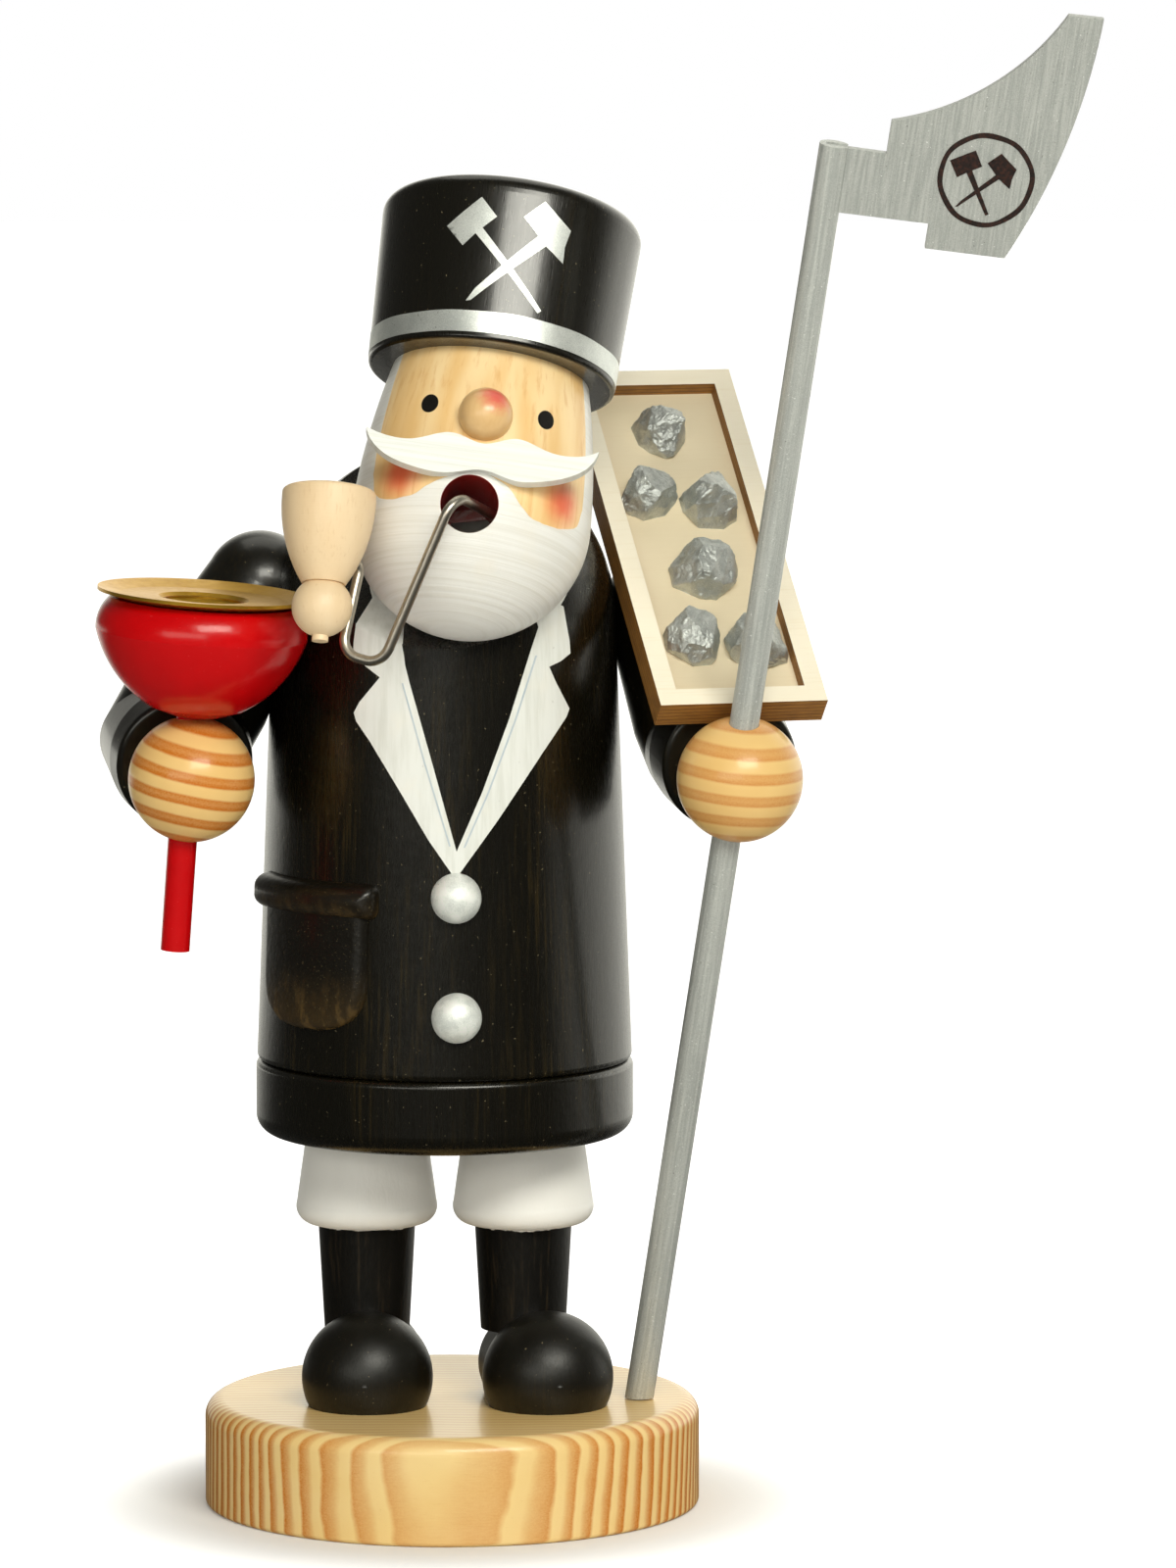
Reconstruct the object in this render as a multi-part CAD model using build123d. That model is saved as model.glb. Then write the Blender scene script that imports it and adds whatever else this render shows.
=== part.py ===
"""Incense smoker: a turned wooden miner with a lamp, an ore tray and a parade axe.

Lengths are in millimetres and angles in degrees. +Z is up, the figure looks along -Y and its own
right hand is on the -X side. The origin is the middle of the base's underside.
"""
from build123d import *
import math
import os

# Base
base_radius = 50.0
base_height = 21.5
base_top_round = 3.6
base_foot_round = 1.0

# Where the figure's own axis stands on the base
figure_x = -1.4

# Fits: glued pieces, the lift-off seat, and the overrun of every cut
fit_gap = 0.05
spigot_gap = 0.3
overrun = 2.0

# Shoes: turned balls with a heel, cut flat where they stand
shoe_ball_radius = 13.2
shoe_ball_ahead = 11.0
shoe_axis_height = 5.8
shoe_waist_radius = 10.2
shoe_heel_radius = 10.8
shoe_heel_back = 11.5
shoe_heel_round = 4.0
shoe_pocket_height = 14.0
right_toe_out_angle = 1.0
right_shoe_aside = 0.5
left_toe_out_angle = 11.0
left_shoe_aside = 2.9

# Legs: boot shaft, breeches and a tenon into the hem
leg_spacing = 31.6
leg_height = 54.2
boot_foot_radius = 8.6
boot_top_radius = 9.8
boot_height = 35.5
breeches_hem_radius = 11.2
breeches_hem_round = 3.2
breeches_bulge_radius = 14.1
breeches_bulge_height = 40.0
breeches_middle_radius = 13.2
breeches_middle_height = 46.5
breeches_top_radius = 12.1
leg_tenon_radius = 5.0
leg_tenon_length = 9.0

# Lower body: the coat's hem, which carries the cone and the upper body
hem_radius = 38.0
hem_height = 15.0
hem_foot_round = 4.0
parting_round = 1.3
spigot_height = 8.0
draught_hole_radius = 3.0
draught_hole_back = 17.0
plate_radius = 11.0
plate_thickness = 0.8
plate_rim_height = 1.6
nail_head_radius = 2.4
nail_head_height = 0.7
nail_shank_radius = 0.9
nail_length = 7.0

# Coat: a tapered barrel with a half-ball shoulder, hollow inside
coat_hem_radius = 37.8
coat_shoulder_radius = 34.4
coat_barrel_height = 89.3
chamber_radius = 25.0
chamber_below_dome = 15.0
smoke_bore_radius = 4.0

# Head seat: a flat cut on the shoulder that faces up and forward
neck_slope_angle = 45.0
neck_flat_height = 21.87
head_aside = 5.91
head_drop = 8.11

# Head
head_radius = 23.6
head_flat_share = 0.7071
head_height = 29.6
head_middle_radius = 22.3
head_top_radius = 19.5
head_roll_angle = 8.0
head_lean_back_angle = 21.475
head_tenon_radius = 8.0
head_tenon_length = 8.0
mouth_radius = 5.6
mouth_height = -3.4
mouth_aside = 0.7
nose_radius = 5.3
nose_height = 14.9
nose_ahead = 22.8
nose_peg_radius = 1.5
nose_peg_length = 6.0

# Moustache: a flat sawn plate, its outline in shares of its half width
moustache_half_width = 22.8
moustache_thickness = 3.5
moustache_front = 25.5
moustache_upper_shares = [
    (-0.99, 0.37), (-0.80, 0.315), (-0.56, 0.325), (-0.25, 0.42), (0.02, 0.36),
    (0.28, 0.44), (0.56, 0.37), (0.80, 0.355), (1.0, 0.43),
]
moustache_lower_shares = [
    (1.0, 0.43), (0.90, 0.25), (0.72, 0.145), (0.53, 0.09), (0.32, 0.07), (0.05, 0.125),
    (-0.24, 0.065), (-0.58, 0.08), (-0.80, 0.15), (-0.93, 0.25), (-0.99, 0.37),
]

# Hat, measured up from the top of the head
hat_foot_radius = 24.5
hat_foot_round = 0.8
hat_flare_radius = 25.8
hat_flare_height = 30.4
hat_height = 34.3
hat_top_round = 3.0

# Arms: shoulder places differ, because the left arm stands back behind the tray
shoulder_radius = 11.2
right_shoulder_out = 36.9
right_shoulder_back = 2.0
right_shoulder_up = 5.8
left_shoulder_out = 43.3
left_shoulder_back = 10.0
left_shoulder_up = 1.0
elbow_radius = 14.3
elbow_out = 54.1
elbow_ahead = 3.0
elbow_down = 25.0
cuff_radius = 13.5
cuff_round = 1.2
forearm_length = 18.6
forearm_yaw_angle = 9.5
forearm_drop_angle = 9.0
hand_radius = 12.5
hand_beyond_cuff = 10.6
dowel_radius = 3.0
shoulder_dowel_length = 16.0
shoulder_dowel_in_coat = 7.0
wrist_dowel_length = 14.0
wrist_dowel_from_centre = 5.0

# Lamp: a turned bowl on a handle, with a brass candle cup let into it and a saucer round the cup
lamp_lean_aside_angle = 4.2
lamp_lean_ahead_angle = 1.5
lamp_foot_radius = 4.3
lamp_heel_radius = 9.0
lamp_heel_height = 1.5
lamp_flank_radius = 16.9
lamp_flank_height = 8.3
lamp_bowl_radius = 20.9
lamp_bulge_height = 16.5
lamp_lip_radius = 20.3
lamp_lip_height = 20.1
lamp_rim_radius = 18.4
lamp_height = 22.9
handle_radius = 2.9
handle_aside = 0.95
handle_below_hand = 34.3
handle_tenon_length = 7.0
cup_bore_radius = 7.2
cup_bore_depth = 12.0
cup_wall = 0.7
cup_mouth_radius = 9.0
cup_mouth_drop = 1.2
dish_flat_radius = 16.5
dish_radius = 21.0
dish_rise = 1.2

# Pipe: a bent wire stem from the mouth to a bowl with a ball below
stem_radius = 1.0
stem_drop = 30.8
stem_route_shares = [
    (0.219, 0.367, -0.148), (-0.094, -0.181, 0.062), (-0.552, -0.133, -1.015),
    (-0.810, -0.035, -0.950), (-0.695, 0.127, -0.425), (-0.798, 0.046, -0.300),
]
stem_bend_radii = [4.0, 4.1, 4.1, 2.2]
pipe_lean_aside_angle = 3.4
pipe_lean_back_angle = 17.8
pipe_ball_radius = 5.9
pipe_nub_radius = 1.6
pipe_nub_length = 0.9
pipe_neck_radius = 4.3
pipe_neck_height = 4.6
pipe_flank_radius = 7.9
pipe_flank_height = 7.8
pipe_bowl_radius = 9.1
pipe_bowl_height = 18.6
pipe_rim_round = 0.8
pipe_bore_radius = 5.6
pipe_bore_depth = 8.4
stem_seat_height = 12.0
stem_seat_aside = 3.3
stem_seat_back = 1.4

# Buttons and pocket on the coat, placed by height above the parting line and by azimuth
button_radius = 5.0
button_azimuth_angle = 4.6
upper_button_height = 36.6
lower_button_height = 12.9
pocket_azimuth_angle = -49.0
pocket_thickness = 3.0
pocket_half_width = 17.5
pocket_top = 35.0
pocket_bottom = 10.2
pocket_corner_round = 10.0
pocket_edge_round = 1.2
flap_radius = 3.2
flap_sink = 0.3
flap_height = 35.2
flap_span_angle = 58.0
flap_end_round = 2.6

# Tray with six pieces of ore, leaning back beside the head
tray_width = 34.7
tray_length = 89.2
tray_floor_thickness = 3.0
tray_frame_thickness = 3.0
tray_border = 4.0
tray_yaw_angle = 16.0
tray_lean_angle = 46.0
tray_roll_angle = 1.0
tray_aside = 1.85
tray_ahead = 2.87
stone_radius = 5.8
stone_size_shares = [1.0, 1.04, 1.1, 1.14, 1.05, 1.12]
stone_foot_share = 0.2
stone_facets = 13
stone_place_shares = [
    (0.005, 0.832), (-0.212, 0.645), (0.19, 0.6), (0.01, 0.417), (-0.18, 0.212), (0.225, 0.193),
]

# Staff and parade axe
staff_radius = 2.9
staff_length = 264.0
staff_lean_aside_angle = 8.27
staff_lean_ahead_angle = 12.68
staff_foot_gap = 0.3
staff_grip_aside = -0.9
staff_grip_ahead = 1.6
blade_thickness = 1.9
blade_reach = 47.3
blade_tongue = 1.5
blade_neck_top_share = -0.006
blade_neck_bottom_share = -0.279
blade_step_share = 0.215
blade_shoulder_share = 0.131
blade_hollow_share = (0.550, 0.298)
blade_horn_share = (0.858, 0.666)
blade_tip_share = (1.0, 0.670)
blade_edge_share = (0.936, 0.158)
blade_heel_share = (0.757, -0.374)
blade_notch_share = (0.429, -0.378)
blade_notch_height_share = -0.273

# Levels and centres that follow from the sizes above
hem_foot_z = base_height + leg_height
parting_z = hem_foot_z + hem_height
dome_z = parting_z + coat_barrel_height
chamber_height = coat_barrel_height - chamber_below_dome
seat_normal = Vector(0, -math.sin(math.radians(neck_slope_angle)), math.cos(math.radians(neck_slope_angle)))
dome_centre = Vector(figure_x, 0, dome_z)


def sine(angle):
    return math.sin(math.radians(angle))


def cosine(angle):
    return math.cos(math.radians(angle))


def leaning(aside, ahead):
    """Unit direction that leans from straight up towards +X and towards -Y."""
    return Vector(math.tan(math.radians(aside)), -math.tan(math.radians(ahead)), 1).normalized()


def rod(radius, length, start=0):
    """Cylinder along +Z from a starting height."""
    foot = (Align.CENTER, Align.CENTER, Align.MIN)
    return Pos(0, 0, start) * Cylinder(radius, length, align=foot)


def lathe(start, *moves):
    """Turn a profile of radius and height: a move is a point, or a pair of points for an arc."""
    outline = Curve()
    here = start
    for move in moves:
        is_arc = isinstance(move[0], tuple)
        there = move[1] if is_arc else move
        ends = [(here[0], 0, here[1]), (there[0], 0, there[1])]
        if is_arc:
            outline += ThreePointArc(ends[0], (move[0][0], 0, move[0][1]), ends[1])
        else:
            outline += Line(*ends)
        here = there
    outline += Line((here[0], 0, here[1]), (start[0], 0, start[1]))
    return revolve(make_face(outline), Axis.Z)


def ring_edges(solid):
    """Circular edges from the lowest to the highest."""
    return solid.edges().filter_by(GeomType.CIRCLE).sort_by(Axis.Z)


# Base, shoes and legs

def base_disc():
    disc = rod(base_radius, base_height)
    disc = fillet(ring_edges(disc)[-1], base_top_round)
    return fillet(ring_edges(disc)[0], base_foot_round)


def leg_x(side):
    return figure_x + side * leg_spacing / 2


def shoe(side, toe_out, aside):
    """Ball, waist and heel turned about the axis that points at the toe."""
    slope = math.sqrt(0.5)
    corner = shoe_heel_radius - shoe_heel_round
    bend = (corner + shoe_heel_round * slope, shoe_heel_round * (1 - slope) - shoe_heel_back)
    ball_back = shoe_ball_ahead - math.sqrt(shoe_ball_radius ** 2 - shoe_waist_radius ** 2)
    body = lathe(
        (0, -shoe_heel_back),
        (corner, -shoe_heel_back),
        (bend, (shoe_heel_radius, shoe_heel_round - shoe_heel_back)),
        (shoe_waist_radius, ball_back),
        ((shoe_ball_radius, shoe_ball_ahead), (0, shoe_ball_ahead + shoe_ball_radius)),
    )
    toe = Vector(side * sine(toe_out), -cosine(toe_out), 0)
    axis_plane = Plane(origin=(leg_x(side) + aside, 0, base_height + shoe_axis_height), z_dir=toe)
    body = axis_plane.location * body
    body = split(body, Plane.XY.offset(base_height), keep=Keep.TOP)
    foot_z = base_height + shoe_pocket_height
    pocket = lathe(
        (0, foot_z),
        (boot_foot_radius + fit_gap, foot_z),
        (boot_top_radius + fit_gap, base_height + boot_height),
        (0, base_height + boot_height),
    )
    return body - Pos(leg_x(side), 0, 0) * pocket


def leg(side):
    """Boot shaft, the breeches that bulge over it, and the tenon for the hem."""
    foot_z = base_height + shoe_pocket_height
    boot_z = base_height + boot_height
    bulge_z = base_height + breeches_bulge_height
    hem_bend = (
        breeches_bulge_radius - breeches_hem_round * (1 - cosine(45)),
        boot_z + breeches_hem_round * (1 - cosine(45)),
    )
    body = lathe(
        (0, foot_z),
        (boot_foot_radius, foot_z),
        (boot_top_radius, boot_z),
        (breeches_hem_radius, boot_z),
        (hem_bend, (breeches_bulge_radius, bulge_z)),
        ((breeches_middle_radius, base_height + breeches_middle_height),
         (breeches_top_radius, hem_foot_z)),
        (leg_tenon_radius, hem_foot_z),
        (leg_tenon_radius, hem_foot_z + leg_tenon_length),
        (0, hem_foot_z + leg_tenon_length),
    )
    return Pos(leg_x(side), 0, 0) * body


# Lower body and what stands on it

def lower_body():
    """The hem: sockets for the legs below, a round seat for the upper body above."""
    body = rod(hem_radius, hem_height, hem_foot_z)
    body = fillet(ring_edges(body)[0], hem_foot_round)
    body = fillet(ring_edges(body)[-1], parting_round)
    body += rod(chamber_radius - spigot_gap, spigot_height, parting_z)
    body = Pos(figure_x, 0, 0) * body
    for side in (-1, 1):
        socket = rod(leg_tenon_radius + fit_gap, leg_tenon_length + fit_gap, hem_foot_z)
        body -= Pos(leg_x(side), 0, 0) * socket
    through = rod(draught_hole_radius, hem_height + spigot_height + 2 * overrun, hem_foot_z - overrun)
    body -= Pos(figure_x, draught_hole_back, 0) * through
    return body - Pos(figure_x, 0, plate_face_z()) * nail_form(fit_gap)


def plate_face_z():
    """Level of the face that the cone stands on."""
    return parting_z + spigot_height + plate_thickness


def nail_form(gap=0):
    """Nail with a countersunk head, or the room it needs, with its head's face at zero."""
    return lathe(
        (0, -nail_length - gap),
        (nail_shank_radius + gap, -nail_length - gap),
        (nail_shank_radius + gap, -nail_head_height),
        (nail_head_radius + gap, 0),
        (0, 0),
    )


def incense_plate():
    """Pressed metal plate with a turned-up rim, countersunk for its nail."""
    top = parting_z + spigot_height
    plate = lathe(
        (0, top),
        (plate_radius - plate_thickness, top),
        (plate_radius, top + plate_rim_height),
        (plate_radius - plate_thickness, top + plate_rim_height),
        (plate_radius - 2 * plate_thickness, plate_face_z()),
        (0, plate_face_z()),
    )
    plate -= Pos(0, 0, plate_face_z()) * nail_form(fit_gap)
    return Pos(figure_x, 0, 0) * plate


def plate_nail():
    return Pos(figure_x, 0, plate_face_z()) * nail_form()


# Coat and head

def seat_plane():
    """Flat on the shoulder where the head is glued; its Z faces up and forward."""
    return Plane(origin=dome_centre + seat_normal * neck_flat_height, x_dir=(1, 0, 0), z_dir=seat_normal)


def head_plane():
    """The head's own frame: X to the figure's left, -Y out of the face, Z to the crown."""
    seat = seat_plane()
    centre = seat.origin + seat.x_dir * head_aside - seat.y_dir * head_drop
    centre += seat.z_dir * head_radius * head_flat_share
    crown = Vector(
        cosine(head_lean_back_angle) * sine(head_roll_angle),
        sine(head_lean_back_angle),
        cosine(head_lean_back_angle) * cosine(head_roll_angle),
    )
    return Plane(origin=centre, x_dir=(cosine(head_roll_angle), 0, -sine(head_roll_angle)), z_dir=crown)


def coat_radius_at(height):
    """Outer radius of the barrel at a height above the parting line."""
    taper = (coat_hem_radius - coat_shoulder_radius) / coat_barrel_height
    return coat_hem_radius - taper * height


def coat_outside(extra=0):
    """The coat's outer form, or that form made thicker by an extra layer."""
    top_radius = coat_shoulder_radius + extra
    body = lathe(
        (0, parting_z),
        (coat_hem_radius + extra, parting_z),
        (top_radius, dome_z),
        ((top_radius * cosine(45), dome_z + top_radius * sine(45)), (0, dome_z + top_radius)),
    )
    return Pos(figure_x, 0, 0) * body


def smoke_bore():
    """Bore from the chamber through the head's seat to the middle of the head."""
    head = head_plane()
    reach = head_radius * head_flat_share
    down = coat_shoulder_radius - neck_flat_height
    return Plane(origin=head.origin, z_dir=-seat_normal).location * rod(smoke_bore_radius, reach + down)


def coat():
    body = fillet(ring_edges(coat_outside())[0], parting_round)
    chamber = rod(chamber_radius, chamber_height + overrun, parting_z - overrun)
    chamber += Pos(0, 0, parting_z + chamber_height) * Sphere(chamber_radius)
    body -= Pos(figure_x, 0, 0) * chamber
    body = split(body, seat_plane(), keep=Keep.BOTTOM)
    body -= smoke_bore()
    for side in (-1, 1):
        body -= shoulder_dowel(side, fit_gap)
    return body


def head_outside():
    """Half ball below, slightly tapered face above, in the head's own frame."""
    return lathe(
        (0, -head_radius),
        ((head_radius * cosine(45), -head_radius * sine(45)), (head_radius, 0)),
        ((head_middle_radius, head_height / 2), (head_top_radius, head_height)),
        (0, head_height),
    )


def nose_peg(gap=0):
    """Peg from the middle of the nose back into the face."""
    peg = rod(nose_peg_radius + gap, nose_peg_length + gap)
    return Plane(origin=(0, -nose_ahead, nose_height), z_dir=(0, 1, 0)).location * peg


def head():
    body = head_outside()
    body += rod(head_tenon_radius, head_tenon_length, head_height)
    mouth = rod(mouth_radius, head_radius + overrun)
    body -= Plane(origin=(-mouth_aside, 0, mouth_height), z_dir=(0, -1, 0)).location * mouth
    body -= nose_peg(fit_gap)
    body = head_plane().location * body
    body = split(body, seat_plane(), keep=Keep.TOP)
    body -= smoke_bore()
    return body - pipe_stem(fit_gap)


def nose():
    ball = Pos(0, -nose_ahead, nose_height) * Sphere(nose_radius)
    return head_plane().location * ((ball - head_outside()) + nose_peg())


def moustache():
    """Flat plate with drooping wings, hollowed behind where it meets the face."""
    upper = [(x * moustache_half_width, y * moustache_half_width) for x, y in moustache_upper_shares]
    lower = [(x * moustache_half_width, y * moustache_half_width) for x, y in moustache_lower_shares]
    outline = make_face(Spline(*upper) + Spline(*lower))
    plate = extrude(Plane.XZ.offset(moustache_front) * outline, amount=-moustache_thickness)
    return head_plane().location * (plate - head_outside())


def hat():
    body = lathe(
        (0, head_height),
        (hat_foot_radius, head_height),
        (hat_flare_radius, head_height + hat_flare_height),
        (hat_flare_radius, head_height + hat_height),
        (0, head_height + hat_height),
    )
    body = fillet(ring_edges(body)[0], hat_foot_round)
    body = fillet(ring_edges(body)[-1], hat_top_round)
    body -= rod(head_tenon_radius + fit_gap, head_tenon_length + fit_gap, head_height)
    return head_plane().location * body


# Arms and hands

def shoulder_point(side):
    out = left_shoulder_out if side > 0 else right_shoulder_out
    back = left_shoulder_back if side > 0 else right_shoulder_back
    up = left_shoulder_up if side > 0 else right_shoulder_up
    return dome_centre + Vector(side * out, back, up)


def elbow_point(side):
    return dome_centre + Vector(side * elbow_out, -elbow_ahead, -elbow_down)


def forearm_direction():
    level = cosine(forearm_drop_angle)
    return Vector(sine(forearm_yaw_angle) * level, -cosine(forearm_yaw_angle) * level, -sine(forearm_drop_angle))


def hand_point(side):
    return elbow_point(side) + forearm_direction() * (forearm_length + hand_beyond_cuff)


def upper_direction(side):
    return (elbow_point(side) - shoulder_point(side)).normalized()


def mitre_plane(side):
    """Plane of the glued elbow, halfway between the two directions of the arm."""
    return Plane(origin=elbow_point(side), z_dir=upper_direction(side) + forearm_direction())


def mitre_reach(side):
    turn = upper_direction(side).get_angle(forearm_direction())
    return elbow_radius * math.tan(math.radians(turn / 2))


def shoulder_dowel(side, gap=0):
    """Dowel that runs level from the coat's wall into the shoulder."""
    centre = shoulder_point(side)
    inward = Vector(figure_x - centre.X, -centre.Y, 0).normalized()
    start = Vector(figure_x, 0, centre.Z) - inward * (coat_shoulder_radius - shoulder_dowel_in_coat)
    peg = rod(dowel_radius + gap, shoulder_dowel_length + 2 * gap, -gap)
    return Plane(origin=start, z_dir=-inward).location * peg


def wrist_dowel(side, gap=0):
    """Dowel from inside the hand back into the forearm."""
    back = -forearm_direction()
    start = hand_point(side) + back * wrist_dowel_from_centre
    peg = rod(dowel_radius + gap, wrist_dowel_length + 2 * gap, -gap)
    return Plane(origin=start, z_dir=back).location * peg


def upper_arm(side):
    """Rounded shoulder, tapered arm, hollowed to the coat and mitred at the elbow."""
    length = (elbow_point(side) - shoulder_point(side)).length
    reach = mitre_reach(side)
    arm = lathe(
        (0, -shoulder_radius),
        ((shoulder_radius * cosine(45), -shoulder_radius * sine(45)), (shoulder_radius, 0)),
        (elbow_radius, length - reach),
        (elbow_radius, length + reach + overrun),
        (0, length + reach + overrun),
    )
    arm = Plane(origin=shoulder_point(side), z_dir=upper_direction(side)).location * arm
    if side > 0:
        arm -= tray_block()
    arm -= coat_outside()
    arm -= shoulder_dowel(side, fit_gap)
    return split(arm, mitre_plane(side), keep=Keep.BOTTOM)


def forearm(side):
    """Sleeve from the mitre to the cuff, hollowed for the hand."""
    reach = mitre_reach(side)
    arm = lathe(
        (0, -reach - overrun),
        (elbow_radius, -reach - overrun),
        (elbow_radius, reach),
        (cuff_radius, forearm_length),
        (0, forearm_length),
    )
    arm = fillet(ring_edges(arm)[-1], cuff_round)
    arm = Plane(origin=elbow_point(side), z_dir=forearm_direction()).location * arm
    if side > 0:
        arm -= tray_block()
    arm -= Location(hand_point(side)) * Sphere(hand_radius + fit_gap)
    arm -= wrist_dowel(side, fit_gap)
    return split(arm, mitre_plane(side), keep=Keep.TOP)


def hand(side):
    """Turned ball, drilled for the wrist and for what it holds."""
    ball = Location(hand_point(side)) * Sphere(hand_radius)
    ball -= wrist_dowel(side, fit_gap)
    if side > 0:
        return ball - staff_plane().location * rod(staff_radius + fit_gap, staff_length)
    grip = rod(handle_radius + fit_gap, 2 * (hand_radius + overrun), -hand_radius - overrun)
    return ball - lamp_plane().location * (Pos(-handle_aside, 0, 0) * grip)


# Lamp

def lamp_plane():
    """Frame of the lamp: origin in the hand, Z up the handle."""
    return Plane(origin=hand_point(-1), z_dir=leaning(lamp_lean_aside_angle, lamp_lean_ahead_angle))


def lamp_bowl():
    foot = hand_radius
    bulge = (lamp_bowl_radius, foot + lamp_bulge_height)
    bowl = lathe(
        (0, foot),
        (lamp_foot_radius, foot),
        (lamp_heel_radius, foot + lamp_heel_height),
        ((lamp_flank_radius, foot + lamp_flank_height), bulge),
        ((lamp_lip_radius, foot + lamp_lip_height), (lamp_rim_radius, foot + lamp_height)),
        (0, foot + lamp_height),
    )
    cup_depth = cup_bore_depth + cup_mouth_drop + cup_wall + fit_gap
    cup_seat = rod(cup_bore_radius + cup_wall + fit_gap, cup_depth + overrun, foot + lamp_height - cup_depth)
    bowl -= cup_seat
    bowl -= Pos(-handle_aside, 0, 0) * rod(handle_radius + fit_gap, 2 * handle_tenon_length, foot - handle_tenon_length)
    return lamp_plane().location * bowl


def lamp_handle():
    length = handle_below_hand + hand_radius + handle_tenon_length
    return lamp_plane().location * (Pos(-handle_aside, 0, 0) * rod(handle_radius, length, -handle_below_hand))


def candle_cup():
    """Brass socket for the candle, let into the bowl below the saucer."""
    mouth = hand_radius + lamp_height - cup_mouth_drop
    cup = rod(cup_bore_radius + cup_wall, cup_bore_depth + cup_wall, mouth - cup_bore_depth - cup_wall)
    cup -= rod(cup_bore_radius, cup_bore_depth + overrun, mouth - cup_bore_depth)
    return lamp_plane().location * cup


def wax_saucer():
    """Brass dish that catches the wax; its flared collar stands on the socket."""
    top = hand_radius + lamp_height
    dish = lathe(
        (cup_bore_radius, top - cup_mouth_drop),
        (cup_bore_radius + cup_wall, top - cup_mouth_drop),
        (cup_bore_radius + cup_wall, top),
        (dish_flat_radius, top),
        (dish_radius, top + dish_rise),
        (dish_radius, top + dish_rise + cup_wall),
        (dish_flat_radius, top + cup_wall),
        (cup_mouth_radius, top + cup_wall),
    )
    return lamp_plane().location * dish


# Pipe

def stem_route():
    """Corner points of the wire, from inside the mouth to inside the pipe's bowl."""
    mouth = head_plane().from_local_coords(Vector(-mouth_aside, -head_radius, mouth_height))
    return [mouth + Vector(*shares) * stem_drop for shares in stem_route_shares]


def pipe_stem(gap=0):
    """Wire bent by hand: it arches out of the mouth, hangs down and turns back up."""
    path = FilletPolyline(*stem_route(), radius=stem_bend_radii)
    section = Plane(origin=path @ 0, z_dir=path % 0) * Circle(stem_radius + gap)
    return sweep(section, path=path)


def pipe_plane():
    """Frame of the bowl: origin in the ball below it, Z up through the bowl."""
    frame = Plane(origin=stem_route()[-1], x_dir=(1, 0, 0), z_dir=leaning(pipe_lean_aside_angle, -pipe_lean_back_angle))
    centre = frame.origin - frame.x_dir * stem_seat_aside - frame.y_dir * stem_seat_back
    centre -= frame.z_dir * stem_seat_height
    return Plane(origin=centre, x_dir=frame.x_dir, z_dir=frame.z_dir)


def pipe_bowl():
    foot = pipe_neck_height
    top = foot + pipe_bowl_height
    bowl = lathe(
        (0, foot),
        (pipe_neck_radius, foot),
        ((pipe_flank_radius, foot + pipe_flank_height), (pipe_bowl_radius, top)),
        (0, top),
    )
    bowl = fillet(ring_edges(bowl)[-1], pipe_rim_round)
    bowl -= rod(pipe_bore_radius, pipe_bore_depth + overrun, top - pipe_bore_depth)
    return pipe_plane().location * bowl - pipe_stem(fit_gap)


def pipe_ball():
    """Ball below the bowl, faced off for it, with the turner's nub underneath."""
    ball = Sphere(pipe_ball_radius)
    ball += rod(pipe_nub_radius, pipe_ball_radius, -pipe_ball_radius - pipe_nub_length)
    ball = split(ball, Plane.XY.offset(pipe_neck_height), keep=Keep.BOTTOM)
    return pipe_plane().location * ball


# Buttons and pocket

def button(height):
    """Half ball glued on the front of the coat."""
    out = coat_radius_at(height)
    place = (
        figure_x + out * sine(button_azimuth_angle),
        -out * cosine(button_azimuth_angle),
        parting_z + height,
    )
    return Pos(*place) * Sphere(button_radius) - coat_outside()


def pocket_flap():
    """Rolled bar with rounded ends, bent round the coat."""
    out = coat_radius_at(flap_height) - flap_sink
    bar = Circle(flap_radius)
    bar = revolve(Plane(origin=(out, 0, 0), x_dir=(1, 0, 0), z_dir=(0, 1, 0)) * bar, Axis.Z, flap_span_angle)
    bar = fillet(bar.edges().filter_by(GeomType.CIRCLE).sort_by(SortBy.LENGTH)[:2], flap_end_round)
    middle = pocket_azimuth_angle - 90 - flap_span_angle / 2
    bar = Pos(figure_x, 0, parting_z + flap_height) * (Rot(0, 0, middle) * bar)
    return bar - coat_outside()


def pocket_pouch():
    """Curved plate with a round bottom that hugs the coat below its flap."""
    height = pocket_top - pocket_bottom
    outline = Rectangle(2 * pocket_half_width, height, align=(Align.CENTER, Align.MIN))
    outline = fillet(outline.vertices().group_by(Axis.Y)[0], pocket_corner_round)
    facing = Vector(sine(pocket_azimuth_angle), -cosine(pocket_azimuth_angle), 0)
    across = Vector(cosine(pocket_azimuth_angle), sine(pocket_azimuth_angle), 0)
    foot = Vector(figure_x, 0, parting_z + pocket_bottom)
    block = extrude(Plane(origin=foot, x_dir=across, z_dir=facing) * outline, amount=base_radius)
    pouch = coat_outside(pocket_thickness) & block
    front = pouch.faces().filter_by(GeomType.CONE).sort_by(SortBy.AREA)[-1]
    pouch = fillet(front.edges(), pocket_edge_round)
    return pouch - coat_outside() - pocket_flap()


# Tray and ore

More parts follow.
